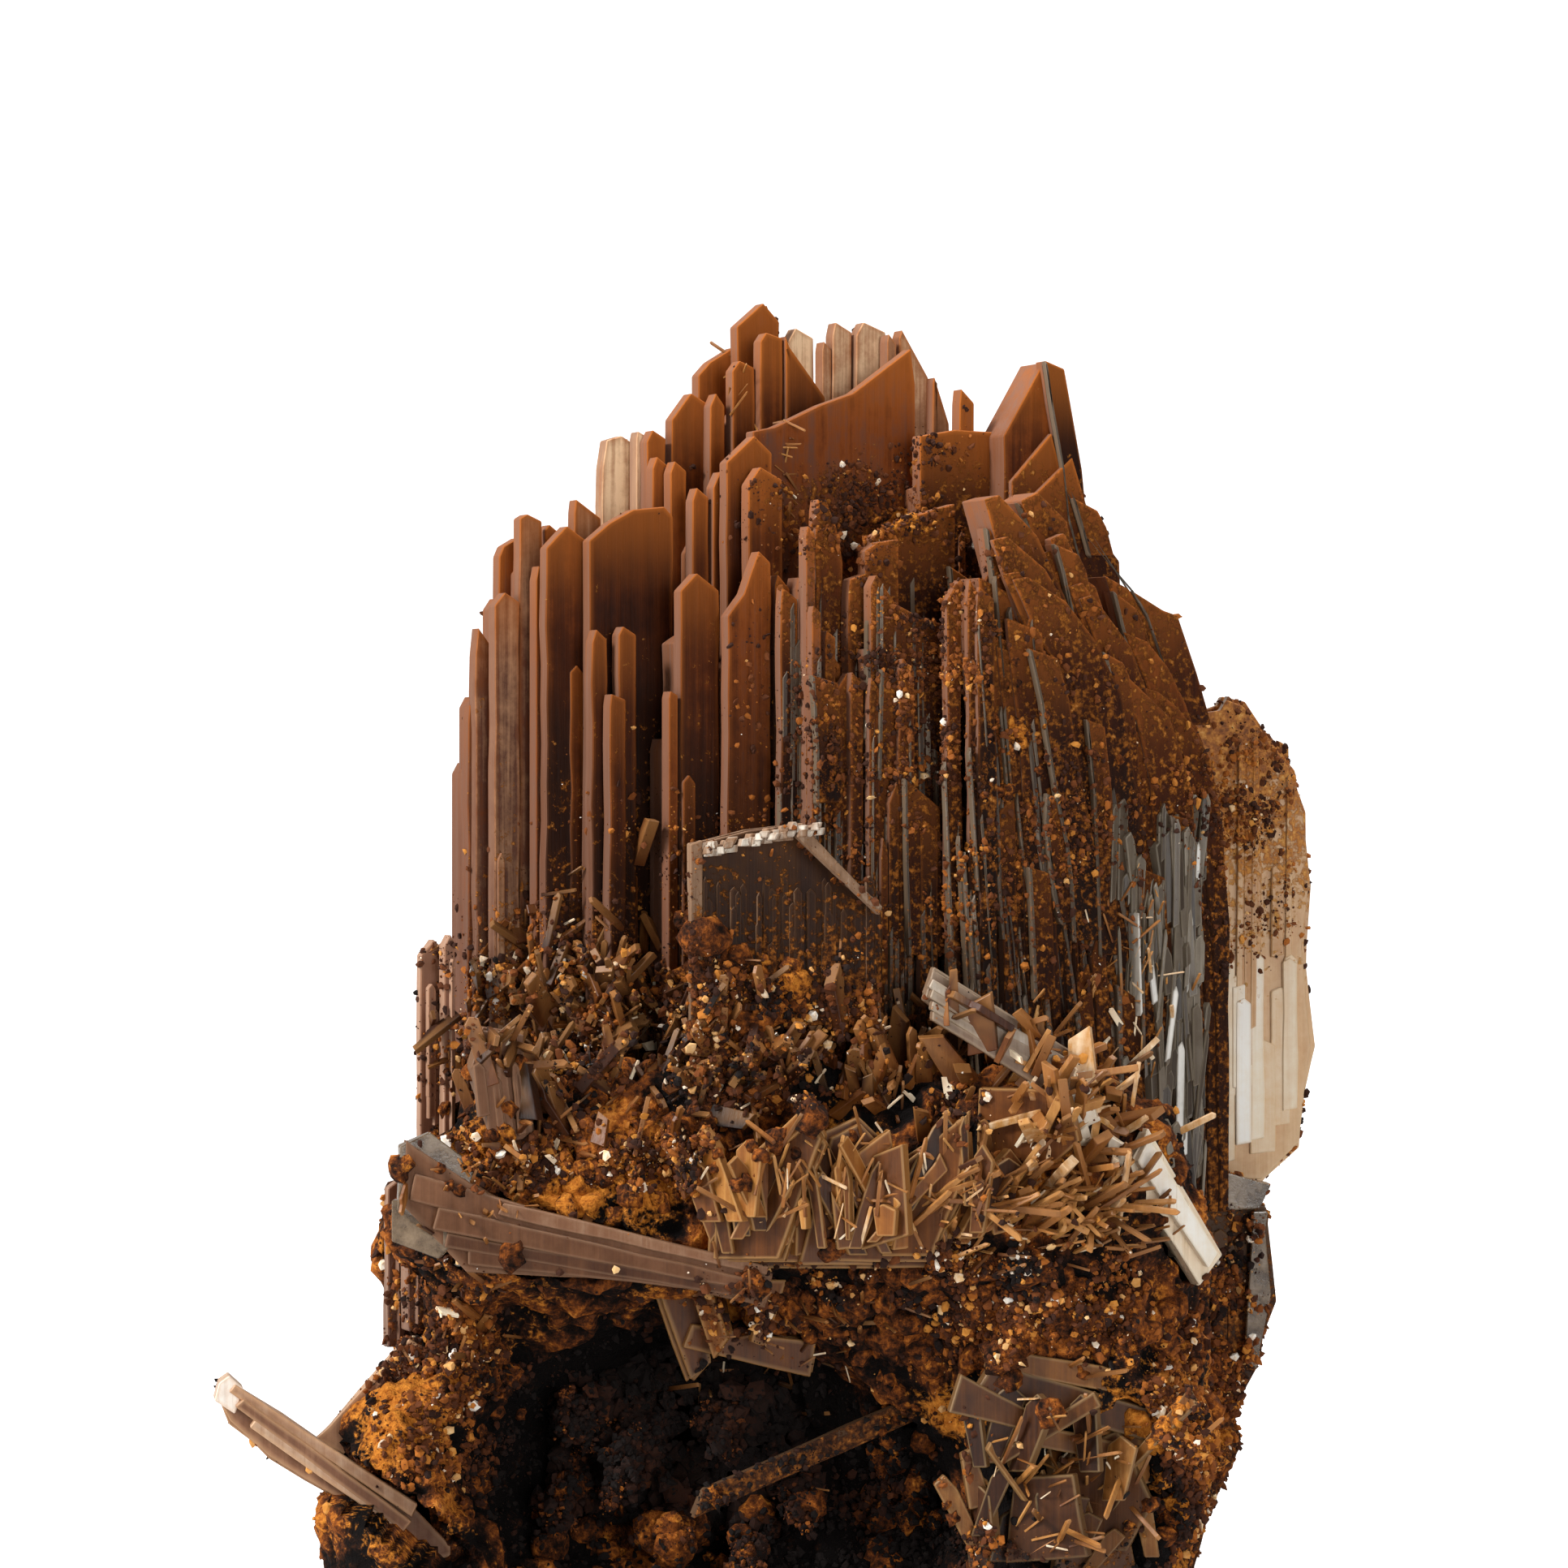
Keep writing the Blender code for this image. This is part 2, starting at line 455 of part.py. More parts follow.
def build():
    """Make every crystal, then the limonite cut to take them."""
    for shape in list(bpy.data.objects):
        bpy.data.objects.remove(shape)
    collection = bpy.data.collections.new("barite_cluster")
    bpy.context.scene.collection.children.link(collection)

    sheaf = bmesh.new()
    for values in FRONT_BLADES + REAR_BLADES:
        blade(sheaf, *values)
    for outline, depth in LEANING_BLADES:
        plate(sheaf, outline, depth, LEANING_THICK)
    back_rows(sheaf)
    prism(sheaf, FOOT_PLAN, FOOT_BOTTOM, FOOT_TOP)
    finish("blade_sheaf", joined(sheaf, "blade_sheaf"), (0.2, 0.08, 0.035), 0.45, collection)

    cutters = bmesh.new()
    prism(cutters, FOOT_PLAN, FOOT_BOTTOM, POCKET_TOP)
    grown(cutters)
    for name, colour, roughness, plates in CRYSTALS:
        finish(name, joined(crystal_bmesh(plates), name), colour, roughness, collection)
        for values in plates:
            add_swollen(cutters, crystal_bmesh([values]))

    crust = bmesh.new()
    lump(crust, *CRUST_BED, BED_DETAIL)
    for values in CRUST_SPIKES:
        spike(crust, *values)
    add_swollen(cutters, crust.copy())
    finish("hollow_crust", joined(crust, "hollow_crust"), (0.5, 0.2, 0.05), 0.9, collection)
    finish("limonite_matrix", limonite_mesh(cutters), (0.16, 0.07, 0.025), 0.9, collection)


build()
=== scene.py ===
"""Looks of the barite crystal cluster: blades, limonite, crumbs and the light they are seen in."""

import json
import math
import random

import bmesh
import bpy
from mathutils import Matrix, Vector, noise
from mathutils.bvhtree import BVHTree
from mathutils.geometry import intersect_line_plane

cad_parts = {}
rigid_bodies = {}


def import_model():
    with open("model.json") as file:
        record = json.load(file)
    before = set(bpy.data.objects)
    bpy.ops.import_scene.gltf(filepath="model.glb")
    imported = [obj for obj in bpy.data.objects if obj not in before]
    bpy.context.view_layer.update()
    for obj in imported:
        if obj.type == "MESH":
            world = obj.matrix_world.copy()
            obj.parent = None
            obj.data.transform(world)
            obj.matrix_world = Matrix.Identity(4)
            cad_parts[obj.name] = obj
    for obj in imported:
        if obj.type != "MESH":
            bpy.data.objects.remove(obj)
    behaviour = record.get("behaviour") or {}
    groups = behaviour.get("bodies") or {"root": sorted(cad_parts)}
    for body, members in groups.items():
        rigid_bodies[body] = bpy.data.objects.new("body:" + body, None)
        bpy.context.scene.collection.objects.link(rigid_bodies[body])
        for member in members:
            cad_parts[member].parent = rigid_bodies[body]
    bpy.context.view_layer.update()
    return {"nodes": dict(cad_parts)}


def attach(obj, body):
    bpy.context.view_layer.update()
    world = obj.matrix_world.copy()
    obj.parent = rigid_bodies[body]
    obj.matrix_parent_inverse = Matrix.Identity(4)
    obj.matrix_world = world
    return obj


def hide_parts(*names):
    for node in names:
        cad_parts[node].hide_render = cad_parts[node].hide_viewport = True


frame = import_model()

# The specimen stands on a white sweep under soft white light, and the camera looks level at the
# middle of the blades. Places below are in millimetres as they show from that camera, in the plane
# through the specimen's middle, and each piece has a depth of its own.
MM = 0.001
EYE = Vector((1.4, -295.0, 57.6))
SHIFT = Vector((-1.2, 1.4, 0.0))
VIEW_WIDTH = 106.26
SENSOR = 36.0

camera_data = bpy.data.cameras.new("front_camera")
camera_data.sensor_width = SENSOR
camera_data.lens = SENSOR * -EYE.y / VIEW_WIDTH
camera_data.clip_start = 0.01
camera = bpy.data.objects.new("front_camera", camera_data)
camera.location = (EYE + SHIFT) * MM
camera.rotation_euler = (math.radians(90), 0, 0)
bpy.context.scene.collection.objects.link(camera)
bpy.context.scene.camera = camera


def srgb(code):
    """Linear colour of an sRGB hex value."""
    parts = [int(code[i:i + 2], 16) / 255 for i in (1, 3, 5)]
    return [p / 12.92 if p <= 0.04045 else ((p + 0.055) / 1.055) ** 2.4 for p in parts] + [1.0]


def add(tree, kind, values=()):
    """Add a shader node, set its properties and inputs, and link those that are given a node or socket."""
    kind, _, operation = kind.partition(".")
    made = tree.nodes.new("ShaderNode" + kind)
    if operation:
        made.operation = operation
    for key, value in dict(values).items():
        if isinstance(key, str) and hasattr(made, key):
            setattr(made, key, value)
        elif isinstance(value, (bpy.types.Node, bpy.types.NodeSocket)):
            tree.links.new(getattr(value, "outputs", [value])[0], made.inputs[key])
        else:
            made.inputs[key].default_value = value
    return made


def colour_ramp(tree, source, stops):
    """Add a ramp that turns a value into the sRGB colours given with their places."""
    made = add(tree, "ValToRGB", {0: source})
    points = made.color_ramp.elements
    points[0].position, points[1].position = stops[0][0], stops[-1][0]
    points[0].color, points[1].color = srgb(stops[0][1]), srgb(stops[-1][1])
    for where, code in stops[1:-1]:
        points.new(where).color = srgb(code)
    return made


def new_material(name):
    """An empty node material with its Principled shader."""
    material = bpy.data.materials.new(name)
    material.use_nodes = True
    return material, material.node_tree, material.node_tree.nodes["Principled BSDF"]


def studio_light(name, kind, place, size, power):
    """A soft light that faces the specimen: a softbox, or a far lamp whose size is an angle."""
    data = bpy.data.lights.new(name, kind)
    data.energy = power
    if kind == "SUN":
        data.angle = size
    else:
        data.size = size
    light = bpy.data.objects.new(name, data)
    light.location = place
    aim = Vector((0, 0, 0.045)) - Vector(place)
    light.rotation_euler = aim.to_track_quat("-Z", "Y").to_euler()
    bpy.context.scene.collection.objects.link(light)


studio_light("far_key", "SUN", (-0.80, -0.42, 0.72), math.radians(12), 3.1)
studio_light("left_softbox", "AREA", (-0.45, -0.20, 0.16), 0.20, 1.2)
studio_light("top_softbox", "AREA", (0.10, 0.05, 0.50), 0.25, 2.0)
studio_light("front_fill", "AREA", (0.22, -0.55, 0.10), 0.30, 1.6)

world = bpy.data.worlds.new("white_room")
world.use_nodes = True
room_tree = world.node_tree
room = room_tree.nodes["Background"]
room.inputs["Color"].default_value = (1, 1, 1, 1)
seen_directly = add(room_tree, "LightPath")
room_level = add(room_tree, "MapRange", {0: seen_directly.outputs["Is Camera Ray"], 3: 0.15, 4: 1.0})
room_tree.links.new(room_level.outputs[0], room.inputs["Strength"])
bpy.context.scene.world = world
bpy.context.scene.view_settings.view_transform = "Standard"


def mesh_of(bm, name):
    """Turn a bmesh into a named mesh."""
    mesh = bpy.data.meshes.new(name)
    bm.to_mesh(mesh)
    bm.free()
    return mesh


def placed(name, data):
    """Put new data into the scene as an object."""
    thing = bpy.data.objects.new(name, data)
    bpy.context.scene.collection.objects.link(thing)
    return thing


SWEEP_REACH = 1.4
SWEEP_HEIGHT = 1.2
sweep_bm = bmesh.new()
bmesh.ops.create_grid(sweep_bm, x_segments=2, y_segments=2, size=SWEEP_REACH)
back_edges = [e for e in sweep_bm.edges if all(v.co.y > SWEEP_REACH * 0.99 for v in e.verts)]
raised = bmesh.ops.extrude_edge_only(sweep_bm, edges=back_edges)
bmesh.ops.translate(sweep_bm, verts=[v for v in raised["geom"] if isinstance(v, bmesh.types.BMVert)],
                    vec=(0, 0, SWEEP_HEIGHT))
bmesh.ops.recalc_face_normals(sweep_bm, faces=sweep_bm.faces)
sweep = placed("white_sweep", mesh_of(sweep_bm, "white_sweep"))
# White paper lit from behind, as on a light table, so that it shows almost without a shadow
sweep_material, sweep_tree, sweep_shader = new_material("lit_white_paper")
paper_fibre = add(sweep_tree, "TexNoise", {"Scale": 900.0, "Detail": 3.0})
paper_tone = add(sweep_tree, "Mix", {"data_type": "RGBA", 0: paper_fibre, 6: srgb("#c4c4c4"),
                                     7: srgb("#cccccc")})
sweep_tree.links.new(paper_tone.outputs[2], sweep_shader.inputs["Base Color"])
sweep_shader.inputs["Roughness"].default_value = 0.9
sweep_shader.inputs["Emission Color"].default_value = (1, 1, 1, 1)
glow_seen = add(sweep_tree, "LightPath")
glow_level = add(sweep_tree, "MapRange", {0: glow_seen.outputs["Is Camera Ray"], 3: 0.0, 4: 0.78})
sweep_tree.links.new(glow_level.outputs[0], sweep_shader.inputs["Emission Strength"])
sweep.data.materials.append(sweep_material)


# The limonite that everything grew on: porous, crumbly iron oxide, deposited by water round the
# crystals' feet. It is rust brown, and bright ochre where it is powdery; painted shade makes its pores
# and hollows dark brown to black. Its flat underside is the cut that the specimen rests on.
ROCK_GRAIN = 0.46
# Reach of the lumps of each size, then the sharp ridges, the pores, and the flat left by the cut
ROCK_ROUGH = {3.4: 0.75, 1.5: 0.55, 0.62: 0.2}
RIDGE_SIZE, RIDGE_REACH, RIDGE_MIDDLE = 1.9, 0.3, 1.4
PORE_SIZE, PORE_DEPTH, PORE_START = 1.25, 1.3, 0.12
CUT_MARGIN = 2.0
PATCH_SIZE = 4.2
BACK_CALM = 0.35
# The line of the left spar, the room that the rock leaves round it, and the depth behind it
SPAR_LINE = ((-37.0, 16.6), (-20.6, 4.6))
SPAR_ROOM = 1.7
SPAR_BACK = -14.8
# Middle and size of each ochre and each black patch, and middles and half sizes of the hollows
OCHRE_SPOTS = [((-24.3, 15.8), 3.6), ((27.4, 12.6), 5.4), ((-8.0, 31.0), 2.4), ((0.4, 43.6), 1.8),
               ((-7.0, 9.8), 2.4), ((-2.6, 21.4), 1.6), ((-19.6, 33.0), 1.8), ((13.0, 14.4), 2.0),
               ((17.3, 61.1), 1.6), ((9.4, 75.4), 1.8), ((-13.0, 29.6), 2.2)]
BLACK_SPOTS = [((4.6, 24.0), 3.4), ((10.6, 23.4), 2.8), ((-13.8, 36.4), 2.4), ((17.5, 24.2), 2.6),
               ((0.5, 38.4), 3.2), ((-6.0, 36.4), 1.6), ((10.0, 37.0), 1.8)]
HOLLOW_MIDDLES = [((-6, -9, 13.0), (15, 13, 11)), ((5, -9, 10.5), (10, 10, 8.5)),
                  ((20.5, -17, 11.5), (8, 6, 6.5))]


def seen_at(place):
    """Where a point in millimetres shows, as x and z in the plane of the specimen's middle."""
    from_eye = place - EYE
    shown = EYE + from_eye * (-EYE.y / from_eye.y)
    return shown.x, shown.z


def nearness(spots, x, z):
    """How near a shown place is to the nearest of some round spots, from 0 to 1."""
    return max(math.exp(-((x - sx) ** 2 + (z - sz) ** 2) / size ** 2) for (sx, sz), size in spots)


def clamped(value):
    """A value kept from 0 to 1."""
    return min(1.0, max(0.0, value))


def inside_hollows(place):
    """How far a point is inside a hollow of the rock: 1 in its middle, 0 at its wall and less beyond."""
    return max(1 - ((place.x - mx) / hx) ** 2 - ((place.y - my) / hy) ** 2 - ((place.z - mz) / hz) ** 2
               for (mx, my, mz), (hx, hy, hz) in HOLLOW_MIDDLES)


def put(name, mesh, material, nodes=(), smooth=False):
    """Make a finished piece of the root body, standing in for any nodes named."""
    piece = placed(name, mesh)
    mesh.materials.clear()
    mesh.materials.append(material)
    for polygon in mesh.polygons:
        polygon.use_smooth = smooth
    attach(piece, "root")
    if nodes:
        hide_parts(*nodes)
    return piece


def settled(shape):
    """The mesh of an object as its modifiers leave it."""
    bpy.context.view_layer.update()
    return bpy.data.meshes.new_from_object(shape.evaluated_get(bpy.context.evaluated_depsgraph_get()))


def off_line(line, x, z):
    """Distance of a shown place from a line."""
    (x0, z0), (x1, z1) = line
    along = clamped(((x - x0) * (x1 - x0) + (z - z0) * (z1 - z0)) / ((x1 - x0) ** 2 + (z1 - z0) ** 2))
    return math.hypot(x - x0 - along * (x1 - x0), z - z0 - along * (z1 - z0))


rock_bm = bmesh.new()
rock_bm.from_mesh(frame["nodes"]["limonite_matrix"].data)
bmesh.ops.remove_doubles(rock_bm, verts=rock_bm.verts, dist=1e-6)
rock_work = placed("rock_work", mesh_of(rock_bm, "rock_coarse"))
regrain = rock_work.modifiers.new("grain", "REMESH")
regrain.mode = "VOXEL"
regrain.voxel_size = ROCK_GRAIN * MM
rock_mesh = settled(rock_work)
bpy.data.objects.remove(rock_work)

rock_points = [v.co / MM - SHIFT for v in rock_mesh.vertices]
rock_normals = [v.normal.copy() for v in rock_mesh.vertices]
rock_ochre = []
rock_pit_shade = []
for vert, place, facing in zip(rock_mesh.vertices, rock_points, rock_normals):
    relief = sum(reach * noise.noise(place / size + Vector((size, 0, 0)))
                 for size, reach in ROCK_ROUGH.items())
    ridged = noise.ridged_multi_fractal(place / RIDGE_SIZE, 1.0, 2.1, 3, 1.0, 1.5)
    relief += RIDGE_REACH * (ridged - RIDGE_MIDDLE)
    relief -= PORE_DEPTH * max(0.0, noise.noise(place / PORE_SIZE + Vector((0, 7, 0))) - PORE_START)
    moved = place + facing * relief * clamped((place.z - 0.3) / CUT_MARGIN)
    moved.z = max(moved.z, 0.0 if place.z < 0.6 else 0.05)
    vert.co = (moved + SHIFT) * MM
    x, z = seen_at(place)
    if place.y < -15.0 and off_line(SPAR_LINE, x, z) < SPAR_ROOM:
        vert.co.y = (SPAR_BACK + SHIFT.y) * MM
    front = 1.0 if place.y < 2 else BACK_CALM
    hollow = inside_hollows(place)
    ochre_near = front * nearness(OCHRE_SPOTS, x, z) * (1.2 + noise.noise(place / 0.9))
    black_near = front * nearness(BLACK_SPOTS, x, z)
    patch = noise.noise(place / PATCH_SIZE + Vector((4, 0, 9)))
    # Less ochre in the black patches, and less inside the hollows as painted shade
    rock_ochre.append(clamped(0.5 + 0.5 * ochre_near - 0.5 * (black_near + 0.9 * clamped(hollow * 3.0))
                              + (0.1 + 0.25 * front) * patch))
    # The pit shade value: random patches and the black patches, plus painted shade where the relief sinks in
    # and inside the hollows
    rock_pit_shade.append(clamped(0.36 - (0.1 + 0.4 * front) * patch - relief * 0.7 + 0.75 * clamped(hollow * 2.0)
                            + 0.35 * black_near))
for label, values in (("ochre", rock_ochre), ("pit_shade", rock_pit_shade)):
    layer = rock_mesh.attributes.new(label, "FLOAT", "POINT")
    layer.data.foreach_set("value", values)

# Earthy limonite: no gloss, rusty on its grains and ochre where it is powdery, with painted shade
# that darkens its pores, recesses and hollows
limonite, tree, shader = new_material("earthy_limonite")
place_in = add(tree, "TexCoord").outputs["Object"]
patches = add(tree, "TexNoise", {0: place_in, "Scale": 1 / (5.0 * MM), "Detail": 4.0, "Roughness": 0.6})
lumps = add(tree, "TexNoise", {0: place_in, "Scale": 1 / (1.3 * MM), "Detail": 4.0, "Roughness": 0.65})
grains = add(tree, "TexNoise", {0: place_in, "Scale": 1 / (0.42 * MM), "Detail": 3.0, "Roughness": 0.65})
ochre = add(tree, "Attribute", {"attribute_name": "ochre"}).outputs["Fac"]
pit_shade = add(tree, "Attribute", {"attribute_name": "pit_shade"}).outputs["Fac"]
grain_part = add(tree, "Math.MULTIPLY_ADD", {0: grains, 1: 1.1, 2: -0.55})
lump_part = add(tree, "Math.MULTIPLY_ADD", {0: lumps, 1: 0.9, 2: grain_part})
patch_part = add(tree, "Math.MULTIPLY_ADD", {0: patches, 1: 0.6, 2: lump_part})
# Painted shade: the pit shade value darkens pores, recesses and hollows
with_pit_shade = add(tree, "Math.MULTIPLY_ADD", {0: pit_shade, 1: -0.9, 2: patch_part})
rust_ramp = colour_ramp(tree, with_pit_shade, [(0.0, "#080403"), (0.16, "#190c06"), (0.30, "#331a0c"),
                                         (0.45, "#542b12"), (0.6, "#7c4218"), (0.76, "#a05a20"),
                                         (0.95, "#c07a36")])
ochre_grain = add(tree, "Math.MULTIPLY_ADD", {0: grains, 1: 0.9, 2: ochre})
ochre_sum = add(tree, "Math.MULTIPLY_ADD", {0: lumps, 1: 0.8, 2: ochre_grain})
ochre_mask = add(tree, "MapRange", {0: ochre_sum, 1: 1.44, 2: 1.66, 3: 0.0, 4: 0.95})
powder_tone = colour_ramp(tree, grains, [(0.3, "#8a440e"), (0.75, "#d98c34")])
earth = add(tree, "Mix", {"data_type": "RGBA", 0: ochre_mask, 6: rust_ramp, 7: powder_tone})
tree.links.new(earth.outputs[2], shader.inputs["Base Color"])
shader.inputs["Roughness"].default_value = 0.95
shader.inputs["Specular IOR Level"].default_value = 0.15
coarse = add(tree, "Bump", {"Strength": 0.7, "Distance": 0.5 * MM, "Height": lumps})
crumble = add(tree, "Bump", {"Strength": 0.9, "Distance": 0.3 * MM, "Height": grains, "Normal": coarse})
tree.links.new(crumble.outputs[0], shader.inputs["Normal"])
put("limonite_body", rock_mesh, limonite, ["limonite_matrix"], smooth=True)


# The sheaf of blades: tabular barite, each blade a thin flat crystal with a chisel tip, grown
# parallel in rows that step up to the crest. Iron stains them red-brown. An orange glow painted
# near their tips and edges stands in for light through the thin crystal, and their narrow sides are
# painted as pale lit strips.
SIDE_TURN = 28
BLADE_THICK = 1.1
BACKING_THICK = 3.4
BACKING_DROP = 3.5
BLADE_FOOT = 28.6
LEAST_FACE = 0.6
RIM_WIDTH = 0.26
EDGE_ROUND = 0.07
# What each crystal notes on its points: its tone, where its rim is, and its top and left edge; the
# rim, top and left edge place the painted glow, highlight and shade
CRYSTAL_VALUES = ("tone", "rim", "top", "edge")

# Each blade: left side, right side, left shoulder, tip points, right shoulder, depth, and its tone
# from dark red-brown at 0 through golden brown and mauve grey to pale at 1. The mauve grey of the
# blades at the left is partly their own colour and partly painted sheen and light from the left.
FRONT_BLADES = [
    (-20.5, -18.9, 61.8, [(-19.9, 63.0)], 62.0, -7.0, 0.66),
    (-20.0, -18.4, 66.3, [(-19.3, 68.2)], 66.9, -7.6, 0.74),
    (-18.7, -16.5, 69.7, [(-17.5, 70.6)], 69.9, -9.0, 0.78),
    (-18.4, -16.6, 73.0, [(-17.6, 73.7)], 74.3, -6.0, 0.62),
    (-17.0, -15.0, 75.6, [(-16.0, 75.9)], 75.4, -8.0, 0.74),
    (-15.3, -13.8, 74.8, [(-14.5, 75.2)], 74.6, -6.4, 0.62),
    (-15.9, -14.9, 71.4, [(-15.2, 72.4)], 71.8, -9.6, 0.66),
    (-15.2, -12.0, 73.6, [(-13.3, 75.1)], 74.1, -11.0, 0.42),
    (-13.3, -11.0, 76.0, [(-12.7, 76.9)], 75.6, -6.6, 0.78),
    (-12.3, -6.1, 74.1, [(-10.4, 75.3), (-8.8, 76.2), (-6.7, 76.4)], 75.7, -11.0, 0.34),
    (-12.1, -10.6, 67.2, [(-11.3, 68.1)], 67.4, -12.2, 0.38),
    (-10.3, -8.6, 67.7, [(-9.5, 68.3)], 67.7, -12.0, 0.36),
    (-10.9, -9.3, 62.9, [(-10.4, 63.7)], 63.3, -13.0, 0.38),
    (-11.4, -8.7, 79.0, [(-10.6, 80.9), (-9.6, 81.2)], 80.6, -3.0, 0.97),
    (-9.1, -8.0, 81.0, [(-8.6, 81.5)], 81.2, -3.4, 1.0),
    (-8.4, -6.6, 80.8, [(-7.5, 81.6)], 81.0, -4.4, 0.5),
    (-8.0, -6.5, 79.0, [(-7.2, 79.8)], 79.2, -5.6, 0.44),
    (-6.8, -5.2, 78.7, [(-6.0, 79.5)], 78.8, -6.4, 0.48),
    (-6.7, -3.5, 82.3, [(-4.9, 84.1)], 83.2, -3.6, 0.44),
    (-4.1, -2.6, 83.2, [(-3.2, 84.1)], 83.2, -3.4, 0.5),
    (-4.9, -2.0, 85.3, [(-3.6, 86.2)], 87.2, -0.6, 0.5),
    (-2.3, 1.1, 88.6, [(0.0, 90.2)], 88.9, -0.4, 0.56),
    (-2.6, -0.6, 85.6, [(-1.6, 86.3)], 85.8, -3.0, 0.4),
    (-0.7, 1.3, 87.6, [(0.2, 88.2)], 87.8, -2.8, 0.42),
    (1.0, 4.2, 88.0, [(1.8, 87.2)], 83.8, -2.2, 0.36),
    (-5.3, -3.7, 76.8, [(-4.5, 77.7)], 77.0, -8.6, 0.42),
    (-3.9, -2.6, 77.7, [(-2.9, 78.8)], 78.0, -8.2, 0.46),
    (-3.0, 0.6, 79.4, [(-0.6, 81.2)], 80.0, -9.4, 0.4),
    (-1.5, 1.3, 77.9, [(-0.2, 79.1)], 78.2, -10.4, 0.44),
    (-6.1, -3.0, 70.7, [(-4.5, 71.9)], 70.7, -12.6, 0.4),
    (-6.9, -6.3, 63.4, [(-6.6, 63.9)], 63.6, -13.0, 0.56),
    (-2.9, 0.5, 69.0, [(-1.3, 70.5), (-0.8, 72.0), (-0.3, 73.4)], 72.6, -13.0, 0.55),
    (0.3, 1.8, 71.0, [(1.0, 71.8)], 70.8, -11.2, 0.16),
    (2.4, 3.4, 74.4, [(2.9, 75.1)], 74.5, -13.4, 0.7),
    (2.8, 3.6, 69.2, [(3.2, 69.7)], 69.2, -14.0, 0.66),
    (3.1, 5.4, 76.2, [(3.7, 76.9), (4.3, 76.8), (5.0, 74.9)], 72.6, -12.0, 0.42),
    (3.7, 4.9, 67.4, [(4.3, 68.0)], 67.5, -13.4, 0.32),
    (5.3, 7.1, 70.8, [(5.8, 71.5)], 71.9, -12.2, 0.3),
    (-1.2, 10.3, 81.5, [(0.8, 81.8), (3.9, 83.3), (6.1, 84.1), (10.0, 87.1)], 84.7, -7.6, 0.6),
    (6.8, 13.2, 71.0, [(7.7, 71.8), (9.0, 69.8), (10.7, 68.9)], 68.1, -13.2, 0.32),
    (6.4, 9.2, 73.4, [(7.8, 74.0)], 74.2, -11.4, 0.3),
    (6.8, 13.0, 74.3, [(8.3, 74.9), (10.3, 75.8)], 76.6, -9.6, 0.26),
    (10.1, 16.4, 81.2, [(13.0, 81.6)], 81.4, -5.0, 0.3),
    (12.8, 14.3, 83.4, [(13.4, 84.4)], 83.4, -3.4, 0.6),
]
REAR_BLADES = [
    (1.2, 3.4, 87.6, [(2.2, 88.5)], 87.8, 1.4, 1.0),
    (3.5, 4.5, 87.0, [(4.0, 87.6)], 87.0, 0.8, 0.88),
    (4.2, 6.0, 88.0, [(4.9, 88.9)], 88.2, 1.0, 0.9),
    (5.8, 8.3, 88.0, [(6.8, 88.9)], 88.2, 1.4, 0.92),
    (7.9, 8.9, 87.6, [(8.4, 88.1)], 87.4, 1.0, 0.88),
    (8.7, 11.2, 87.8, [(9.4, 88.4)], 85.1, 1.6, 0.86),
    (11.0, 12.6, 84.8, [(11.6, 85.2)], 82.0, 1.8, 0.82),
]
# The leaning blades of the right side: outline from the left foot, depth and tone
LEANING_BLADES = [
    ([(16.3, BLADE_FOOT), (15.6, 58.7), (14.9, 67), (14.6, 71.6), (17.0, 70.4), (20.0, BLADE_FOOT)],
     -12.0, 0.3),
    ([(20.8, BLADE_FOOT), (20.3, 48), (19.4, 59), (18.2, 66.4), (16.8, 70.1), (15.0, 76.9), (16.0, 77.2),
      (18.6, 74.4), (20.6, 70), (22.4, 64), (23.6, 56), (24.4, BLADE_FOOT)], -9.6, 0.28),
    ([(20.2, BLADE_FOOT), (19.6, 70), (17.5, 76.8), (18.6, 77.4), (20.6, 75.4), (22.6, 66),
      (23.4, BLADE_FOOT)], -8.2, 0.3),
    ([(23.6, BLADE_FOOT), (23.0, 52), (22.2, 62), (20.8, 69.1), (19.5, 74.2), (20.4, 74.6), (23.0, 69.5),
      (25.4, 60), (26.2, BLADE_FOOT)], -7.4, 0.34),
    ([(25.2, BLADE_FOOT), (24.8, 50), (24.3, 59), (23.4, 64.6), (22.0, 68.5), (22.9, 68.6), (25.6, 65),
      (27.2, 58), (28.2, BLADE_FOOT)], -7.0, 0.34),
    ([(29.0, BLADE_FOOT), (28.7, 44), (28.0, 54), (26.1, 61), (24.6, 67.4), (23.2, 71.7), (24.8, 70.8),
      (26.2, 68.4), (27.4, 65), (28.4, 61), (29.2, 55), (29.7, 48), (29.6, BLADE_FOOT)], -3.4, 0.4),
    ([(16.3, BLADE_FOOT), (16.3, 81.2), (19.0, 86.2), (20.4, 77.5), (22.2, 73.1), (23.2, BLADE_FOOT)],
     -4.2, 0.46),
    ([(19.6, BLADE_FOOT), (20.1, 76.4), (21.0, 77.0), (22.7, 73.4), (24.9, 66), (26.0, BLADE_FOOT)],
     -1.6, 0.44),
    ([(22.9, BLADE_FOOT), (23.0, 70), (24.7, 70.8), (26.0, 68.8), (27.9, 62), (28.6, 52),
      (28.8, BLADE_FOOT)], -1.0, 0.44),
]
CREST_LINE = [(-20.0, 62), (-17.5, 72), (-12, 75), (-7, 80), (-3, 84), (3, 86), (10, 84), (14, 80),
              (19, 80), (21, 73), (24, 67), (27, 58), (29, 48)]
BACK_ROWS = [(1.6, 2.0), (4.6, 5.0), (7.6, 11.5), (10.2, 20.0)]


def seen(x, y, z):
    """The point at depth y that shows at x and z from the camera."""
    return EYE + (Vector((x, 0.0, z)) - EYE) * (y - EYE.y) / -EYE.y


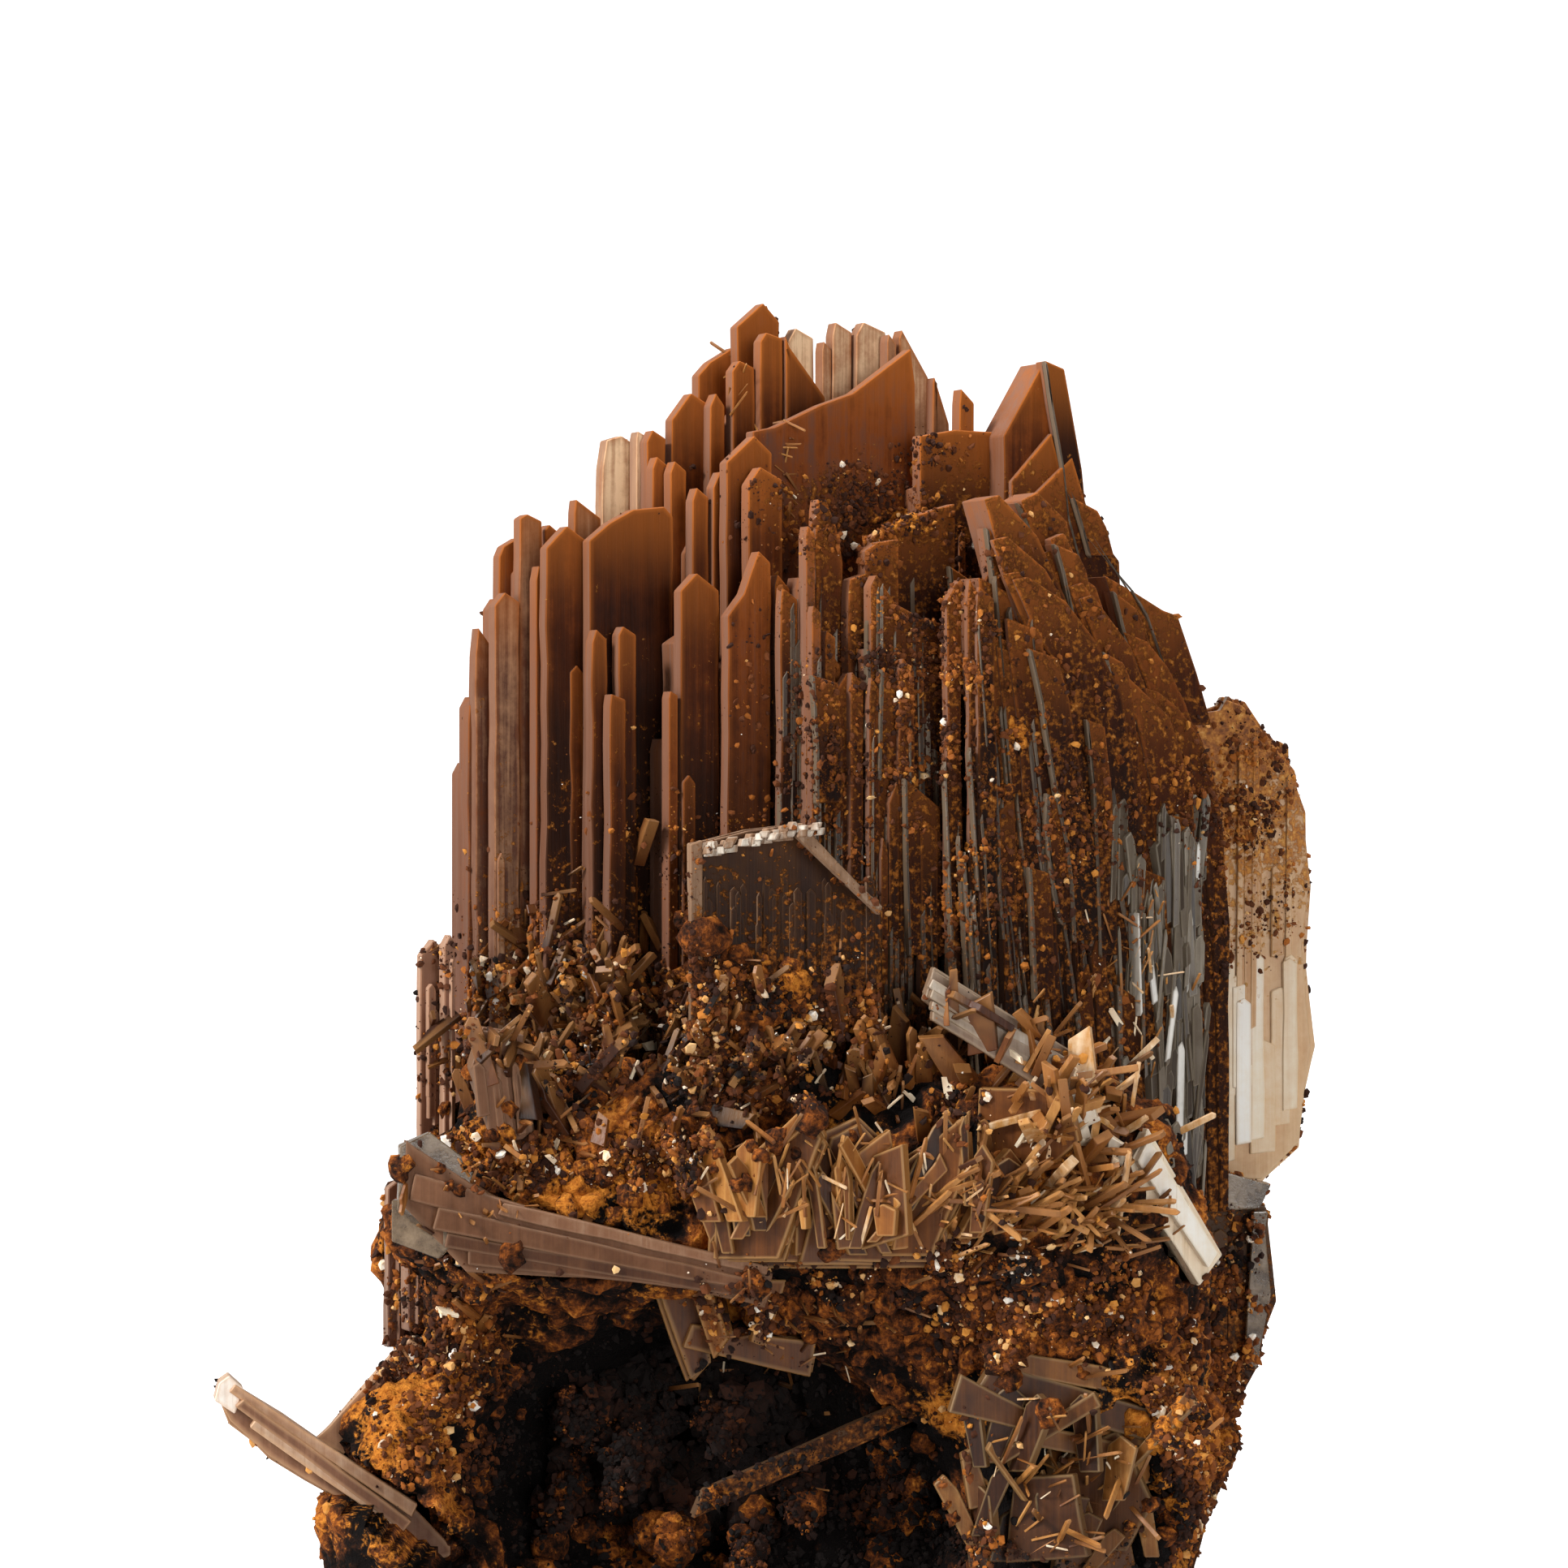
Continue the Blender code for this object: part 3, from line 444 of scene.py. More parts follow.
def uneven(outline, step=2.6, jog=0.07):
    """An outline with extra points along its long sides, each a little off the line."""
    points = []
    for (x0, z0), (x1, z1) in zip(outline, outline[1:] + outline[:1]):
        points.append((x0, z0))
        parts = int(math.hypot(x1 - x0, z1 - z0) / step)
        for part in range(1, parts):
            along = part / parts
            x, z = x0 + (x1 - x0) * along, z0 + (z1 - z0) * along
            spot = Vector((x * 3.1, z * 0.7, 1.7))
            points.append((x + noise.noise(spot) * jog * 2, z + noise.noise(spot.yzx) * jog * 2))
    return points


def plate(bm, outline, depth, thick=BLADE_THICK, turn=SIDE_TURN, rake=0.0, tone=0.4, rim=RIM_WIDTH):
    """Add a flat crystal with rounded edges, and note its rim, its narrow sides and its tone."""
    width = max(x for x, z in outline) - min(x for x, z in outline)
    if width > 0.9:
        outline = uneven(outline)
    yaw = math.radians(turn)
    pitch = math.radians(rake)
    facing = Vector((math.sin(yaw) * math.cos(pitch), -math.cos(yaw) * math.cos(pitch), math.sin(pitch)))
    corner = seen(outline[0][0], depth, outline[0][1])
    made = crystal_bmesh()
    front = [intersect_line_plane(EYE, Vector((x, 0.0, z)), corner, facing) for x, z in outline]
    face = made.faces.new([made.verts.new(point) for point in front])
    copied = bmesh.ops.extrude_face_region(made, geom=[face])
    back = [item for item in copied["geom"] if isinstance(item, bmesh.types.BMVert)]
    bmesh.ops.translate(made, verts=back, vec=-facing * thick)
    bmesh.ops.recalc_face_normals(made, faces=made.faces)
    small = min(EDGE_ROUND, width * 0.08, thick * 0.2)
    bmesh.ops.bevel(made, geom=made.edges[:], offset=small, segments=1, profile=0.5, affect="EDGES",
                    material=-1, clamp_overlap=True)
    broad = [f for f in made.faces if abs(f.normal.dot(facing)) > 0.99]
    around = bmesh.ops.inset_individual(made, faces=broad, thickness=min(rim, width * 0.22),
                                        use_even_offset=True)
    rims = set(around["faces"])
    inner = [f for f in made.faces if abs(f.normal.dot(facing)) > 0.99 and f not in rims]
    store(bm, made, tone, inner)


def in_order(made):
    """The same mesh with its points and faces sorted, because a bevel's own order changes with each run."""
    even = bmesh.new()
    point_layers = [(old, even.verts.layers.float.new(label)) for label, old in made.verts.layers.float.items()]
    face_layers = [(old, even.faces.layers.float.new(label)) for label, old in made.faces.layers.float.items()]
    points = sorted(made.verts, key=lambda v: v.co[:])
    number = {vert: place for place, vert in enumerate(points)}
    for vert in points:
        fresh = even.verts.new(vert.co)
        for old, new in point_layers:
            fresh[new] = vert[old]
    even.verts.ensure_lookup_table()
    rings = []
    for f in made.faces:
        ring = [number[vert] for vert in f.verts]
        start = ring.index(min(ring))
        rings.append((ring[start:] + ring[:start], [f[old] for old, _ in face_layers]))
    for ring, values in sorted(rings):
        fresh = even.faces.new([even.verts[place] for place in ring])
        for (_, new), value in zip(face_layers, values):
            fresh[new] = value
    made.free()
    return even


def store(bm, made, tone, inner_faces):
    """Copy a finished crystal into a larger mesh with its tone, rim and side values."""
    tones, rims, tops, edges = (made.verts.layers.float[label] for label in CRYSTAL_VALUES)
    sides = made.faces.layers.float["side"]
    inner = {v for f in inner_faces for v in f.verts}
    outward = inner_faces[0].normal.copy() if inner_faces else Vector((0, -1, 0))
    top = (max(v.co.z for v in made.verts) + SHIFT.z) * MM
    edge = (min(v.co.x for v in (inner or made.verts)) + SHIFT.x) * MM
    for vert in made.verts:
        vert[tones] = tone
        vert[rims] = 0.0 if vert in inner else 1.0
        vert[tops] = top
        vert[edges] = edge
    for f in made.faces:
        f[sides] = 1.0 if abs(f.normal.dot(outward)) < 0.5 else 0.0
    bmesh.ops.translate(made, verts=made.verts, vec=SHIFT)
    bmesh.ops.scale(made, verts=made.verts, vec=(MM, MM, MM))
    scratch = mesh_of(in_order(made), "scratch")
    bm.from_mesh(scratch)
    bpy.data.meshes.remove(scratch)


def crystal_bmesh():
    """An empty mesh that can take crystals."""
    bm = bmesh.new()
    for label in CRYSTAL_VALUES:
        bm.verts.layers.float.new(label)
    bm.faces.layers.float.new("side")
    return bm


def blade(bm, chance, left, right, left_shoulder, tips, right_shoulder, depth, tone):
    """Add an upright blade, the growth behind it, and thin parallel plates on its face."""
    slope = math.tan(math.radians(SIDE_TURN))
    edge = left + BLADE_THICK * math.sin(math.radians(SIDE_TURN))
    right = max(right, edge + LEAST_FACE)
    top = [(max(x, edge + 0.1), z) for x, z in tips]
    plate(bm, [(edge, BLADE_FOOT), (edge, left_shoulder), *top, (right, right_shoulder),
               (right, BLADE_FOOT)], depth, tone=tone)
    low = min(left_shoulder, right_shoulder) - BACKING_DROP
    inner = edge + 0.25
    plate(bm, [(inner, BLADE_FOOT + 1), (inner, low), ((inner + right) / 2, low + 0.8), (right, low),
               (right, BLADE_FOOT + 1)], depth + BLADE_THICK * 0.5, BACKING_THICK, tone=tone * 0.8)
    for _ in range(int((right - edge) / 2.2 + chance.random() * 0.6)):
        start = chance.uniform(edge + 0.1, right - 0.8)
        end = min(right - 0.15, start + chance.uniform(0.4, 1.3))
        height = low - chance.uniform(2.0, 30.0)
        proud = chance.uniform(0.08, 0.3)
        plate(bm, [(start, BLADE_FOOT + 2), (start, height - 0.5), ((start + end) / 2, height),
                   (end, height - 0.6), (end, BLADE_FOOT + 2)], depth + (start - edge) * slope - proud,
              proud + 0.3, tone=tone * chance.uniform(0.85, 1.1), rim=0.2)


def crest_height(x):
    """Height of the sheaf's top at x, from the crest line."""
    for (x0, z0), (x1, z1) in zip(CREST_LINE, CREST_LINE[1:]):
        if x <= x1:
            return z0 + (z1 - z0) * max(0.0, (x - x0) / (x1 - x0))
    return CREST_LINE[-1][1]


def shifted(outline, amount, drop):
    """A leaning outline moved along the row and shortened at its tip."""
    top = max(z for x, z in outline)
    return [(x + amount, z if z < top - 14 else z - drop * (z - top + 14) / 14) for x, z in outline]


sheaf_bm = crystal_bmesh()
sheaf_chance = random.Random(4)
for values in FRONT_BLADES + REAR_BLADES:
    blade(sheaf_bm, sheaf_chance, *values)
for outline, depth, tone in LEANING_BLADES:
    plate(sheaf_bm, outline, depth, 3.0, tone=tone)
    for step in range(3):
        plate(sheaf_bm, shifted(outline, 0.55 + step * 0.7, sheaf_chance.uniform(1.5, 9.0)),
              depth - 0.25 + step * 0.12, 0.5, tone=tone * sheaf_chance.uniform(0.7, 1.2), rim=0.2)
back_chance = random.Random(11)
for depth, drop in BACK_ROWS:
    narrowing = depth * 0.35
    x = -18.6 + narrowing
    while x < 25.5 - narrowing:
        width = back_chance.uniform(3.0, 5.6)
        right = min(x + width, 27.2 - narrowing)
        top = min(crest_height(x), crest_height(right)) - drop - back_chance.uniform(0.6, 3.4)
        tip = x + (right - x) * back_chance.uniform(0.3, 0.7)
        outline = [(x, BLADE_FOOT), (x, top - 1.4), (tip, top), (right, top - 1.2), (right, BLADE_FOOT)]
        row_depth = depth - back_chance.uniform(0.0, 0.8)
        plate(sheaf_bm, outline, row_depth, 3.6, tone=sheaf_chance.uniform(0.35, 0.7))
        for _ in range(3):
            start = sheaf_chance.uniform(x + 0.1, right - 1.0)
            end = min(right - 0.1, start + sheaf_chance.uniform(0.7, 2.0))
            height = top - sheaf_chance.uniform(2.0, 20.0)
            plate(sheaf_bm, [(start, BLADE_FOOT), (start, height - 0.8), ((start + end) / 2, height),
                             (end, height - 0.7), (end, BLADE_FOOT)], row_depth + 3.2 + (start - x) * 0.53,
                  sheaf_chance.uniform(0.6, 1.1), tone=sheaf_chance.uniform(0.35, 0.7), rim=0.25)
        x = right - 0.7
# Fine flutes over the lower right face: long thin blades seen nearly on edge
flute_chance = random.Random(23)
x = 1.2
while x < 24.0:
    width = flute_chance.uniform(0.35, 1.2)
    top = flute_chance.uniform(52, 72) - max(0.0, x - 18) * 1.5
    depth = -13.7 + max(0.0, x - 15) * 0.45 + flute_chance.uniform(-0.1, 0.6)
    lean = -max(0.0, x - 10) * 0.09
    tip = (x + lean + width * flute_chance.random(), top)
    plate(sheaf_bm, [(x, BLADE_FOOT + 2), (x + lean, top - 1.4), tip, (x + lean + width, top - 0.9),
                     (x + width, BLADE_FOOT + 2)], depth, flute_chance.uniform(0.5, 1.1),
          tone=flute_chance.uniform(0.1, 0.42), rim=0.12)
    x += width * flute_chance.uniform(0.9, 1.9)

# Iron-stained barite: satin cleavage faces with fine growth lines along the blade, dusted with
# limonite towards the foot. Light and shade are painted in: an orange glow near tips, left edges and
# rims stands in for light through thin crystal, the narrow sides are painted lighter as lit, and a
# darker foot colour paints shade low down.
RUSTY_POWDER = ["#1d0e07", "#3c200f", "#6f4019", "#9a5c22", "#c08a4a"]


def barite(name, codes, painted_glow_code, lit_side_code, foot_code, clear=0.0, gloss=0.42, foot=(40.0, 72.0), dust=0.5,
           glow=0.6, dirt=None, sheen=0.3, depth_shade=0.0, streak=0.34, powder_codes=RUSTY_POWDER):
    """A tabular barite finish: tones dark to pale, painted glow rim and lit side, foot and powder colours."""
    material, tree, shader = new_material(name)
    place_in = add(tree, "TexCoord").outputs["Object"]
    turned = add(tree, "Mapping", {0: place_in, "Rotation": (0, 0, math.radians(-SIDE_TURN)),
                                   "Scale": (1 / (0.55 * MM), 1 / (0.55 * MM), 1 / (22 * MM))})
    lines = add(tree, "TexNoise", {0: turned, "Scale": 1.0, "Detail": 6.0, "Roughness": 0.66})
    clouds = add(tree, "TexNoise", {0: place_in, "Scale": 1 / (1.9 * MM), "Detail": 6.0, "Roughness": 0.68})
    tone, rim, side, top, edge = (add(tree, "Attribute", {"attribute_name": label}).outputs["Fac"]
                                  for label in ("tone", "rim", "side", "top", "edge"))
    axes = add(tree, "SeparateXYZ", {0: place_in})
    line_part = add(tree, "Math.MULTIPLY_ADD", {0: lines, 1: streak, 2: -streak / 2})
    cloud_part = add(tree, "Math.MULTIPLY_ADD", {0: clouds, 1: 0.36, 2: -0.18})
    texture = add(tree, "Math.ADD", {0: line_part, 1: cloud_part})
    shade = add(tree, "Math.ADD", {0: tone, 1: texture})
    ramp = colour_ramp(tree, shade, [(index / (len(codes) - 1), code) for index, code in enumerate(codes)])
    # Height between the two foot values: the painted glow shows above, the foot colour below
    up = add(tree, "MapRange", {0: axes.outputs[2], 1: foot[0] * MM, 2: foot[1] * MM, 3: 0.0, 4: 1.0})
    # Painted light: an orange glow near each blade's tip and left edge stands in for light through thin crystal
    below_tip = add(tree, "Math.SUBTRACT", {0: axes.outputs[2], 1: top})
    tip_glow = add(tree, "MapRange", {"interpolation_type": "SMOOTHSTEP", 0: below_tip, 1: -6.5 * MM,
                                      2: 0.0, 3: 0.0, 4: glow})
    from_edge = add(tree, "Math.SUBTRACT", {0: axes, 1: edge})
    edge_glow = add(tree, "MapRange", {"interpolation_type": "SMOOTHSTEP", 0: from_edge, 1: 0.0,
                                       2: 1.0 * MM, 3: glow * 0.3, 4: 0.0})
    # Painted highlight round each crystal's rim
    rim_part = add(tree, "Math.MULTIPLY", {0: rim, 1: 0.4})
    glow_max = add(tree, "Math.MAXIMUM", {0: tip_glow, 1: edge_glow})
    # Pale tones get little of the painted glow
    glow_by_tone = add(tree, "MapRange", {0: tone, 1: 0.80, 2: 0.92, 3: 1.0, 4: 0.1})
    glow_part = add(tree, "Math.MULTIPLY", {0: glow_max, 1: glow_by_tone})
    glow_and_rim = add(tree, "Math.ADD", {"use_clamp": True, 0: glow_part, 1: rim_part})
    glow_and_rim_up = add(tree, "Math.MULTIPLY", {0: glow_and_rim, 1: up})
    rimmed = add(tree, "Mix", {"data_type": "RGBA", 0: glow_and_rim_up, 6: ramp, 7: srgb(painted_glow_code)})
    # Painted light: the narrow sides turn lighter in streaks, as lit from the left and reflecting the white
    # room
    side_lines = add(tree, "MapRange", {0: lines, 1: 0.3, 2: 0.62, 3: 0.3, 4: 0.85})
    side_part = add(tree, "Math.MULTIPLY", {0: side, 1: side_lines})
    sided = add(tree, "Mix", {"data_type": "RGBA", 0: side_part, 6: rimmed.outputs[2], 7: srgb(lit_side_code)})
    # Painted shade: the lower part turns towards the foot colour, which is painted shade where it is dark and
    # an ochre stain on the pale slab; the shade setting darkens the faces further below each tip, less on pale
    # tones and narrow sides
    down = add(tree, "Math.SUBTRACT", {0: 1.0, 1: up})
    far_down = add(tree, "MapRange", {"interpolation_type": "SMOOTHSTEP", 0: below_tip, 1: -17 * MM,
                                      2: -2 * MM, 3: depth_shade, 4: 0.0})
    fades = add(tree, "MapRange", {0: tone, 1: 0.52, 2: 0.64, 3: 1.0, 4: 0.3})
    off_side = add(tree, "Math.MULTIPLY_ADD", {0: side, 1: -0.6, 2: 1.0})
    faded = add(tree, "Math.MULTIPLY", {0: far_down, 1: fades})
    faded_face = add(tree, "Math.MULTIPLY", {0: faded, 1: off_side})
    foot_down = add(tree, "Math.MULTIPLY", {0: down, 1: 0.5})
    foot_part = add(tree, "Math.MAXIMUM", {0: foot_down, 1: faded_face})
    footed = add(tree, "Mix", {"data_type": "RGBA", 0: foot_part, 6: sided.outputs[2], 7: srgb(foot_code)})
    # Powdered limonite that sticks in patches, thickest low down and where dirt says so
    flecks = add(tree, "TexNoise", {0: place_in, "Scale": 1 / (0.42 * MM), "Detail": 3.0, "Roughness": 0.6})
    where = down
    if dirt:
        right = add(tree, "MapRange", {"interpolation_type": "SMOOTHSTEP", 0: axes, 1: dirt[0] * MM,
                                       2: dirt[1] * MM, 3: 0.0, 4: 0.9})
        under = add(tree, "MapRange", {"interpolation_type": "SMOOTHSTEP", 0: axes.outputs[2],
                                       1: dirt[2] * MM, 2: dirt[3] * MM, 3: 1.0, 4: 0.0})
        corner = add(tree, "Math.MULTIPLY", {0: right, 1: under})
        where = add(tree, "Math.MAXIMUM", {0: down, 1: corner})
    off_sides = add(tree, "Math.MULTIPLY_ADD", {0: side, 1: -0.75, 2: 1.0})
    where_flat = add(tree, "Math.MULTIPLY", {0: where, 1: off_sides})
    amount = add(tree, "Math.MULTIPLY_ADD", {0: where_flat, 1: 0.34 * dust, 2: -0.14})
    fleck_half = add(tree, "Math.MULTIPLY_ADD", {0: flecks, 1: 0.6, 2: amount})
    fleck_sum = add(tree, "Math.MULTIPLY_ADD", {0: clouds, 1: 0.5, 2: fleck_half})
    dusted = add(tree, "MapRange", {0: fleck_sum, 1: 0.60, 2: 0.68, 3: 0.0, 4: 0.92})
    powder = colour_ramp(tree, flecks, list(zip((0.34, 0.46, 0.58, 0.68, 0.78), powder_codes)))
    powdered = add(tree, "Mix", {"data_type": "RGBA", 0: dusted, 6: footed.outputs[2], 7: powder})
    tree.links.new(powdered.outputs[2], shader.inputs["Base Color"])
    rough = add(tree, "MapRange", {0: lines, 1: 0.0, 2: 1.0, 3: gloss - 0.08, 4: gloss + 0.16})
    dull = add(tree, "Math.MULTIPLY_ADD", {"use_clamp": True, 0: dusted, 1: 0.45, 2: rough})
    tree.links.new(dull.outputs[0], shader.inputs["Roughness"])
    shader.inputs["IOR"].default_value = 1.64
    shader.inputs["Specular IOR Level"].default_value = sheen
    shader.inputs["Transmission Weight"].default_value = clear
    growth = add(tree, "Bump", {"Strength": 0.4, "Distance": 0.16 * MM, "Height": lines})
    relief = add(tree, "Math.MULTIPLY", {0: dusted, 1: flecks})
    caked = add(tree, "Bump", {"Strength": 0.6, "Distance": 0.22 * MM, "Height": relief, "Normal": growth})
    tree.links.new(caked.outputs[0], shader.inputs["Normal"])
    return material


# The mauve grey stops are partly painted sheen, and the shade setting of 0.78 paints the faces darker below
# each tip
brown_barite = barite("iron_stained_barite", ["#100603", "#210c05", "#351607", "#4e230a", "#7e3f16",
                                              "#624032", "#b08462", "#efd0a8"], "#a85d22", "#816050",
                      "#120905", gloss=0.5, foot=(34.0, 78.0), dust=0.72, dirt=(-6, 4, 76.5, 82),
                      sheen=0.06, depth_shade=0.78, streak=0.5)


def crystal_piece(name, bm, material, nodes=()):
    """Turn a mesh of crystals into a finished piece."""
    return put(name, mesh_of(bm, name), material, nodes)


crystal_piece("barite_blades", sheaf_bm, brown_barite, ["blade_sheaf"])


def surface_so_far():
    """A search tree of every finished piece, to find where its surface is."""
    built = bmesh.new()
    for piece in bpy.context.scene.collection.all_objects:
        if piece.type == "MESH" and piece.name != "white_sweep" and piece.name not in frame["nodes"]:
            built.from_mesh(piece.data)
    bmesh.ops.triangulate(built, faces=built.faces)
    return BVHTree.FromBMesh(built)


def spot_from_eye(x, z):
    """The first surface that shows at x and z: its place in millimetres and its normal."""
    target = (Vector((x, 0, z)) + SHIFT) * MM
    place, normal, _, _ = surface.ray_cast(eye_place, (target - eye_place).normalized())
    return (None, None) if place is None else (place / MM - SHIFT, normal)


# The right side of the sheaf: the edges of many more thin blades show as long grey ridges that lean
# with it, and turn glassy low down at the right. Their pale grey is partly a painted reflection of
# the white room. Each ridge follows a line, with a width.
RIDGES = [
    ([(17.2, 76.7), (17.9, 75.1), (18.3, 73.9), (18.9, 71.6)], 0.42, 0.55),
    ([(19.7, 73.9), (20.2, 72.1), (20.6, 70.3), (20.9, 69.0), (21.2, 66.4)], 0.5, 0.62),
    ([(23.7, 70.7), (24.3, 68.2), (24.8, 66.5), (25.5, 64.2), (26.0, 61.4), (26.5, 58.9), (27.3, 56.9),
      (27.8, 52.7)], 0.45, 0.66),
    ([(23.0, 66.6), (23.4, 64.9), (23.7, 63.1), (24.0, 59.7), (24.4, 54.5), (24.5, 49.6), (24.6, 45.3)],
     0.55, 0.6),
    ([(25.0, 70.7), (26.0, 69.0), (27.3, 65.1), (28.3, 61.6)], 0.3, 0.7),
    ([(19.1, 86.3), (19.5, 83.5), (20.3, 78.9), (20.6, 75.8), (21.2, 73.5)], 0.26, 0.78),
    ([(21.0, 77.0), (21.6, 75.0), (22.1, 73.1)], 0.3, 0.6),
    ([(18.0, 66.8), (18.8, 63.2), (19.1, 61.0), (19.8, 56.9), (20.5, 53.5), (20.8, 51.0), (21.0, 47.0)],
     0.45, 0.5),
    ([(15.1, 75.0), (15.5, 71.7), (15.7, 67.9), (15.5, 65.4), (15.6, 62.7), (15.6, 57.5), (15.6, 54.8),
      (16.3, 51.9), (16.6, 46.6)], 0.4, 0.48),
    ([(19.2, 57.0), (19.1, 54.8), (19.6, 50.1), (20.1, 48.2)], 0.5, 0.5),
    ([(27.6, 55.5), (28.5, 49.2), (28.5, 44.0), (28.9, 39.3)], 0.6, 0.72),
    ([(3.3, 65.0), (3.6, 60.0), (3.6, 56.3)], 0.35, 0.62),
    ([(8.0, 65.4), (7.9, 62.0), (7.8, 58.0)], 0.35, 0.4),
    ([(7.0, 66.8), (7.1, 63.4), (6.9, 60.7)], 0.4, 0.36),
    ([(12.6, 72.4), (12.9, 69.0), (13.2, 65.0)], 0.4, 0.5),
    ([(21.9, 62.0), (22.4, 57.0), (22.6, 52.0), (22.8, 46.0)], 0.35, 0.46),
    ([(11.6, 60.0), (11.8, 56.0), (11.9, 50.0)], 0.3, 0.4),
    ([(13.6, 58.0), (13.9, 53.0), (14.2, 47.0)], 0.35, 0.44),
    ([(9.6, 58.0), (9.7, 52.0), (9.9, 46.0)], 0.3, 0.36),
    ([(18.0, 52.0), (18.2, 48.0), (18.4, 43.0)], 0.4, 0.5),
    ([(26.2, 50.0), (26.5, 44.0), (26.7, 37.0)], 0.6, 0.7),
    ([(25.4, 52.0), (25.6, 46.0), (25.7, 39.0)], 0.4, 0.62),
    ([(24.0, 44.0), (24.1, 40.0), (24.2, 36.0)], 0.5, 0.66),
]
HAIRLINES = 170
SPLINTERS = 150
eye_place = (EYE + SHIFT) * MM
surface = surface_so_far()
ridge_chance = random.Random(29)
ridge_bm = crystal_bmesh()
leaf_bm = crystal_bmesh()
for line, width, tone in RIDGES:
    spots = [spot_from_eye(x, z)[0] for x, z in line]
    first = next(spot for spot in spots if spot)
    reach = ridge_chance.uniform(1.2, 2.4)
    top = line[0][1]
    right_side = [(x + reach, min(z, top - reach * ridge_chance.uniform(0.2, 0.9)))
                  for x, z in reversed(line)]
    plate(leaf_bm, line + right_side, first.y - 0.55, 1.3, tone=ridge_chance.uniform(0.16, 0.4), rim=0.12)
    edge_line = line + [(x + width * 0.62, z - 0.2) for x, z in reversed(line)]
    plate(ridge_bm, edge_line, first.y - 0.68, 0.5, tone=tone * 0.8, rim=0.08)
crystal_piece("leaning_leaves", leaf_bm, brown_barite)
# Grey edge colours, partly a painted reflection of the white room
ridge_barite = barite("grey_edged_barite", ["#1e130b", "#36261a", "#54432f", "#6e5f50", "#9a8a78",
                                            "#d0c6ba"], "#8a7864", "#75624e", "#2a1c10", clear=0.05,
                      gloss=0.34, foot=(20, 90), dust=0.9, glow=0.1, sheen=0.3)
for _ in range(HAIRLINES):
    x, z = ridge_chance.uniform(0.8, 28.0), ridge_chance.uniform(42, 72)
    spot = spot_from_eye(x, z)[0]
    if spot is None or z > crest_height(x) - 5:
        continue
    lean, length = -max(0.0, x - 9) * 0.011, ridge_chance.uniform(4, 15)
    broad = 0.08 + 0.26 * ridge_chance.random() ** 2
    plate(ridge_bm, [(x, z - length), (x + lean * length, z - 0.5), (x + lean * length + broad, z),
                     (x + broad, z - length)], spot.y - 0.12, 0.5, tone=ridge_chance.uniform(0.1, 0.72),
          rim=0.05)
crystal_piece("grey_ridges", ridge_bm, ridge_barite)

# Clear splinters: clean grey and white barite that shows through low down at the right, in glassy
# slivers that stand along the blades. The few pure white slivers are partly painted glints.
surface = surface_so_far()
splinter_bm = crystal_bmesh()
for _ in range(SPLINTERS):
    x = 29.6 - abs(ridge_chance.gauss(0, 2.6))
    z = ridge_chance.uniform(33, 57)
    spot = spot_from_eye(x, z)[0]
    if spot is None or spot.y > 3:
        continue
    length, broad = ridge_chance.uniform(1.2, 8.0), ridge_chance.uniform(0.12, 0.7)
    tilt = ridge_chance.gauss(0, 0.06)
    # A few slivers are pure white, partly painted glints
    plate(splinter_bm, [(x, z - length), (x + tilt * length, z - 0.4), (x + tilt * length + broad * 0.6, z),
                        (x + tilt * length + broad, z - 0.6), (x + broad, z - length + 0.3)],
          spot.y - ridge_chance.uniform(0.1, 0.5), ridge_chance.uniform(0.3, 0.9),
          ridge_chance.uniform(10, 45),
          tone=ridge_chance.uniform(0.05, 0.62) if ridge_chance.random() < 0.93 else 1.0, rim=0.06)
splinter_barite = barite("clear_grey_barite_slivers", ["#24170d", "#3f3022", "#5b4d3d", "#7c7061",
                                                       "#a99f90", "#f0ece4"], "#988a74", "#776a5a",
                         "#3a2c1e", clear=0.2, gloss=0.28, foot=(-20, -10), dust=0.9, glow=0.05, sheen=0.2)
crystal_piece("clear_splinters", splinter_bm, splinter_barite)


def layered(bm, chance, outline, depth, thick, turn, layers, tone, ragged=0.3, rim=0.35, rake=0.0):
    """Build a slab from parallel plates whose edges step in and out a little."""
    each = thick / layers
    for layer in range(layers):
        inset = ragged if layer else 0.0
        moved = [(x + chance.uniform(-inset, inset), z + chance.uniform(-inset, inset)) for x, z in outline]
        plate(bm, moved, depth + layer * each / math.cos(math.radians(turn)), each * 1.04, turn, rake,
              tone=tone * chance.uniform(0.86, 1.12), rim=rim)


def strips(bm, chance, left, right, bottom, top, depth, turn, count, tone, widths=(0.4, 1.4), lean=0.0):
    """Add narrow parallel growth plates that stand a little proud of a broad face."""
    slope = math.tan(math.radians(turn))
    for _ in range(count):
        start = chance.uniform(left, right - widths[0])
        end = min(right, start + chance.uniform(*widths))
        foot = bottom + chance.uniform(0, 0.4) * (top - bottom)
        head = top - chance.uniform(0, 0.45) * (top - bottom)
        proud = chance.uniform(0.1, 0.35)
        tilt = lean * (head - foot)
        plate(bm, [(start, foot), (start + tilt, head - 0.3), ((start + end) / 2 + tilt, head),
                   (end + tilt, head - 0.4), (end, foot + 0.2)], depth + (start - left) * slope - proud,
              proud + 0.3, turn, tone=tone * chance.uniform(0.75, 1.2), rim=0.15)


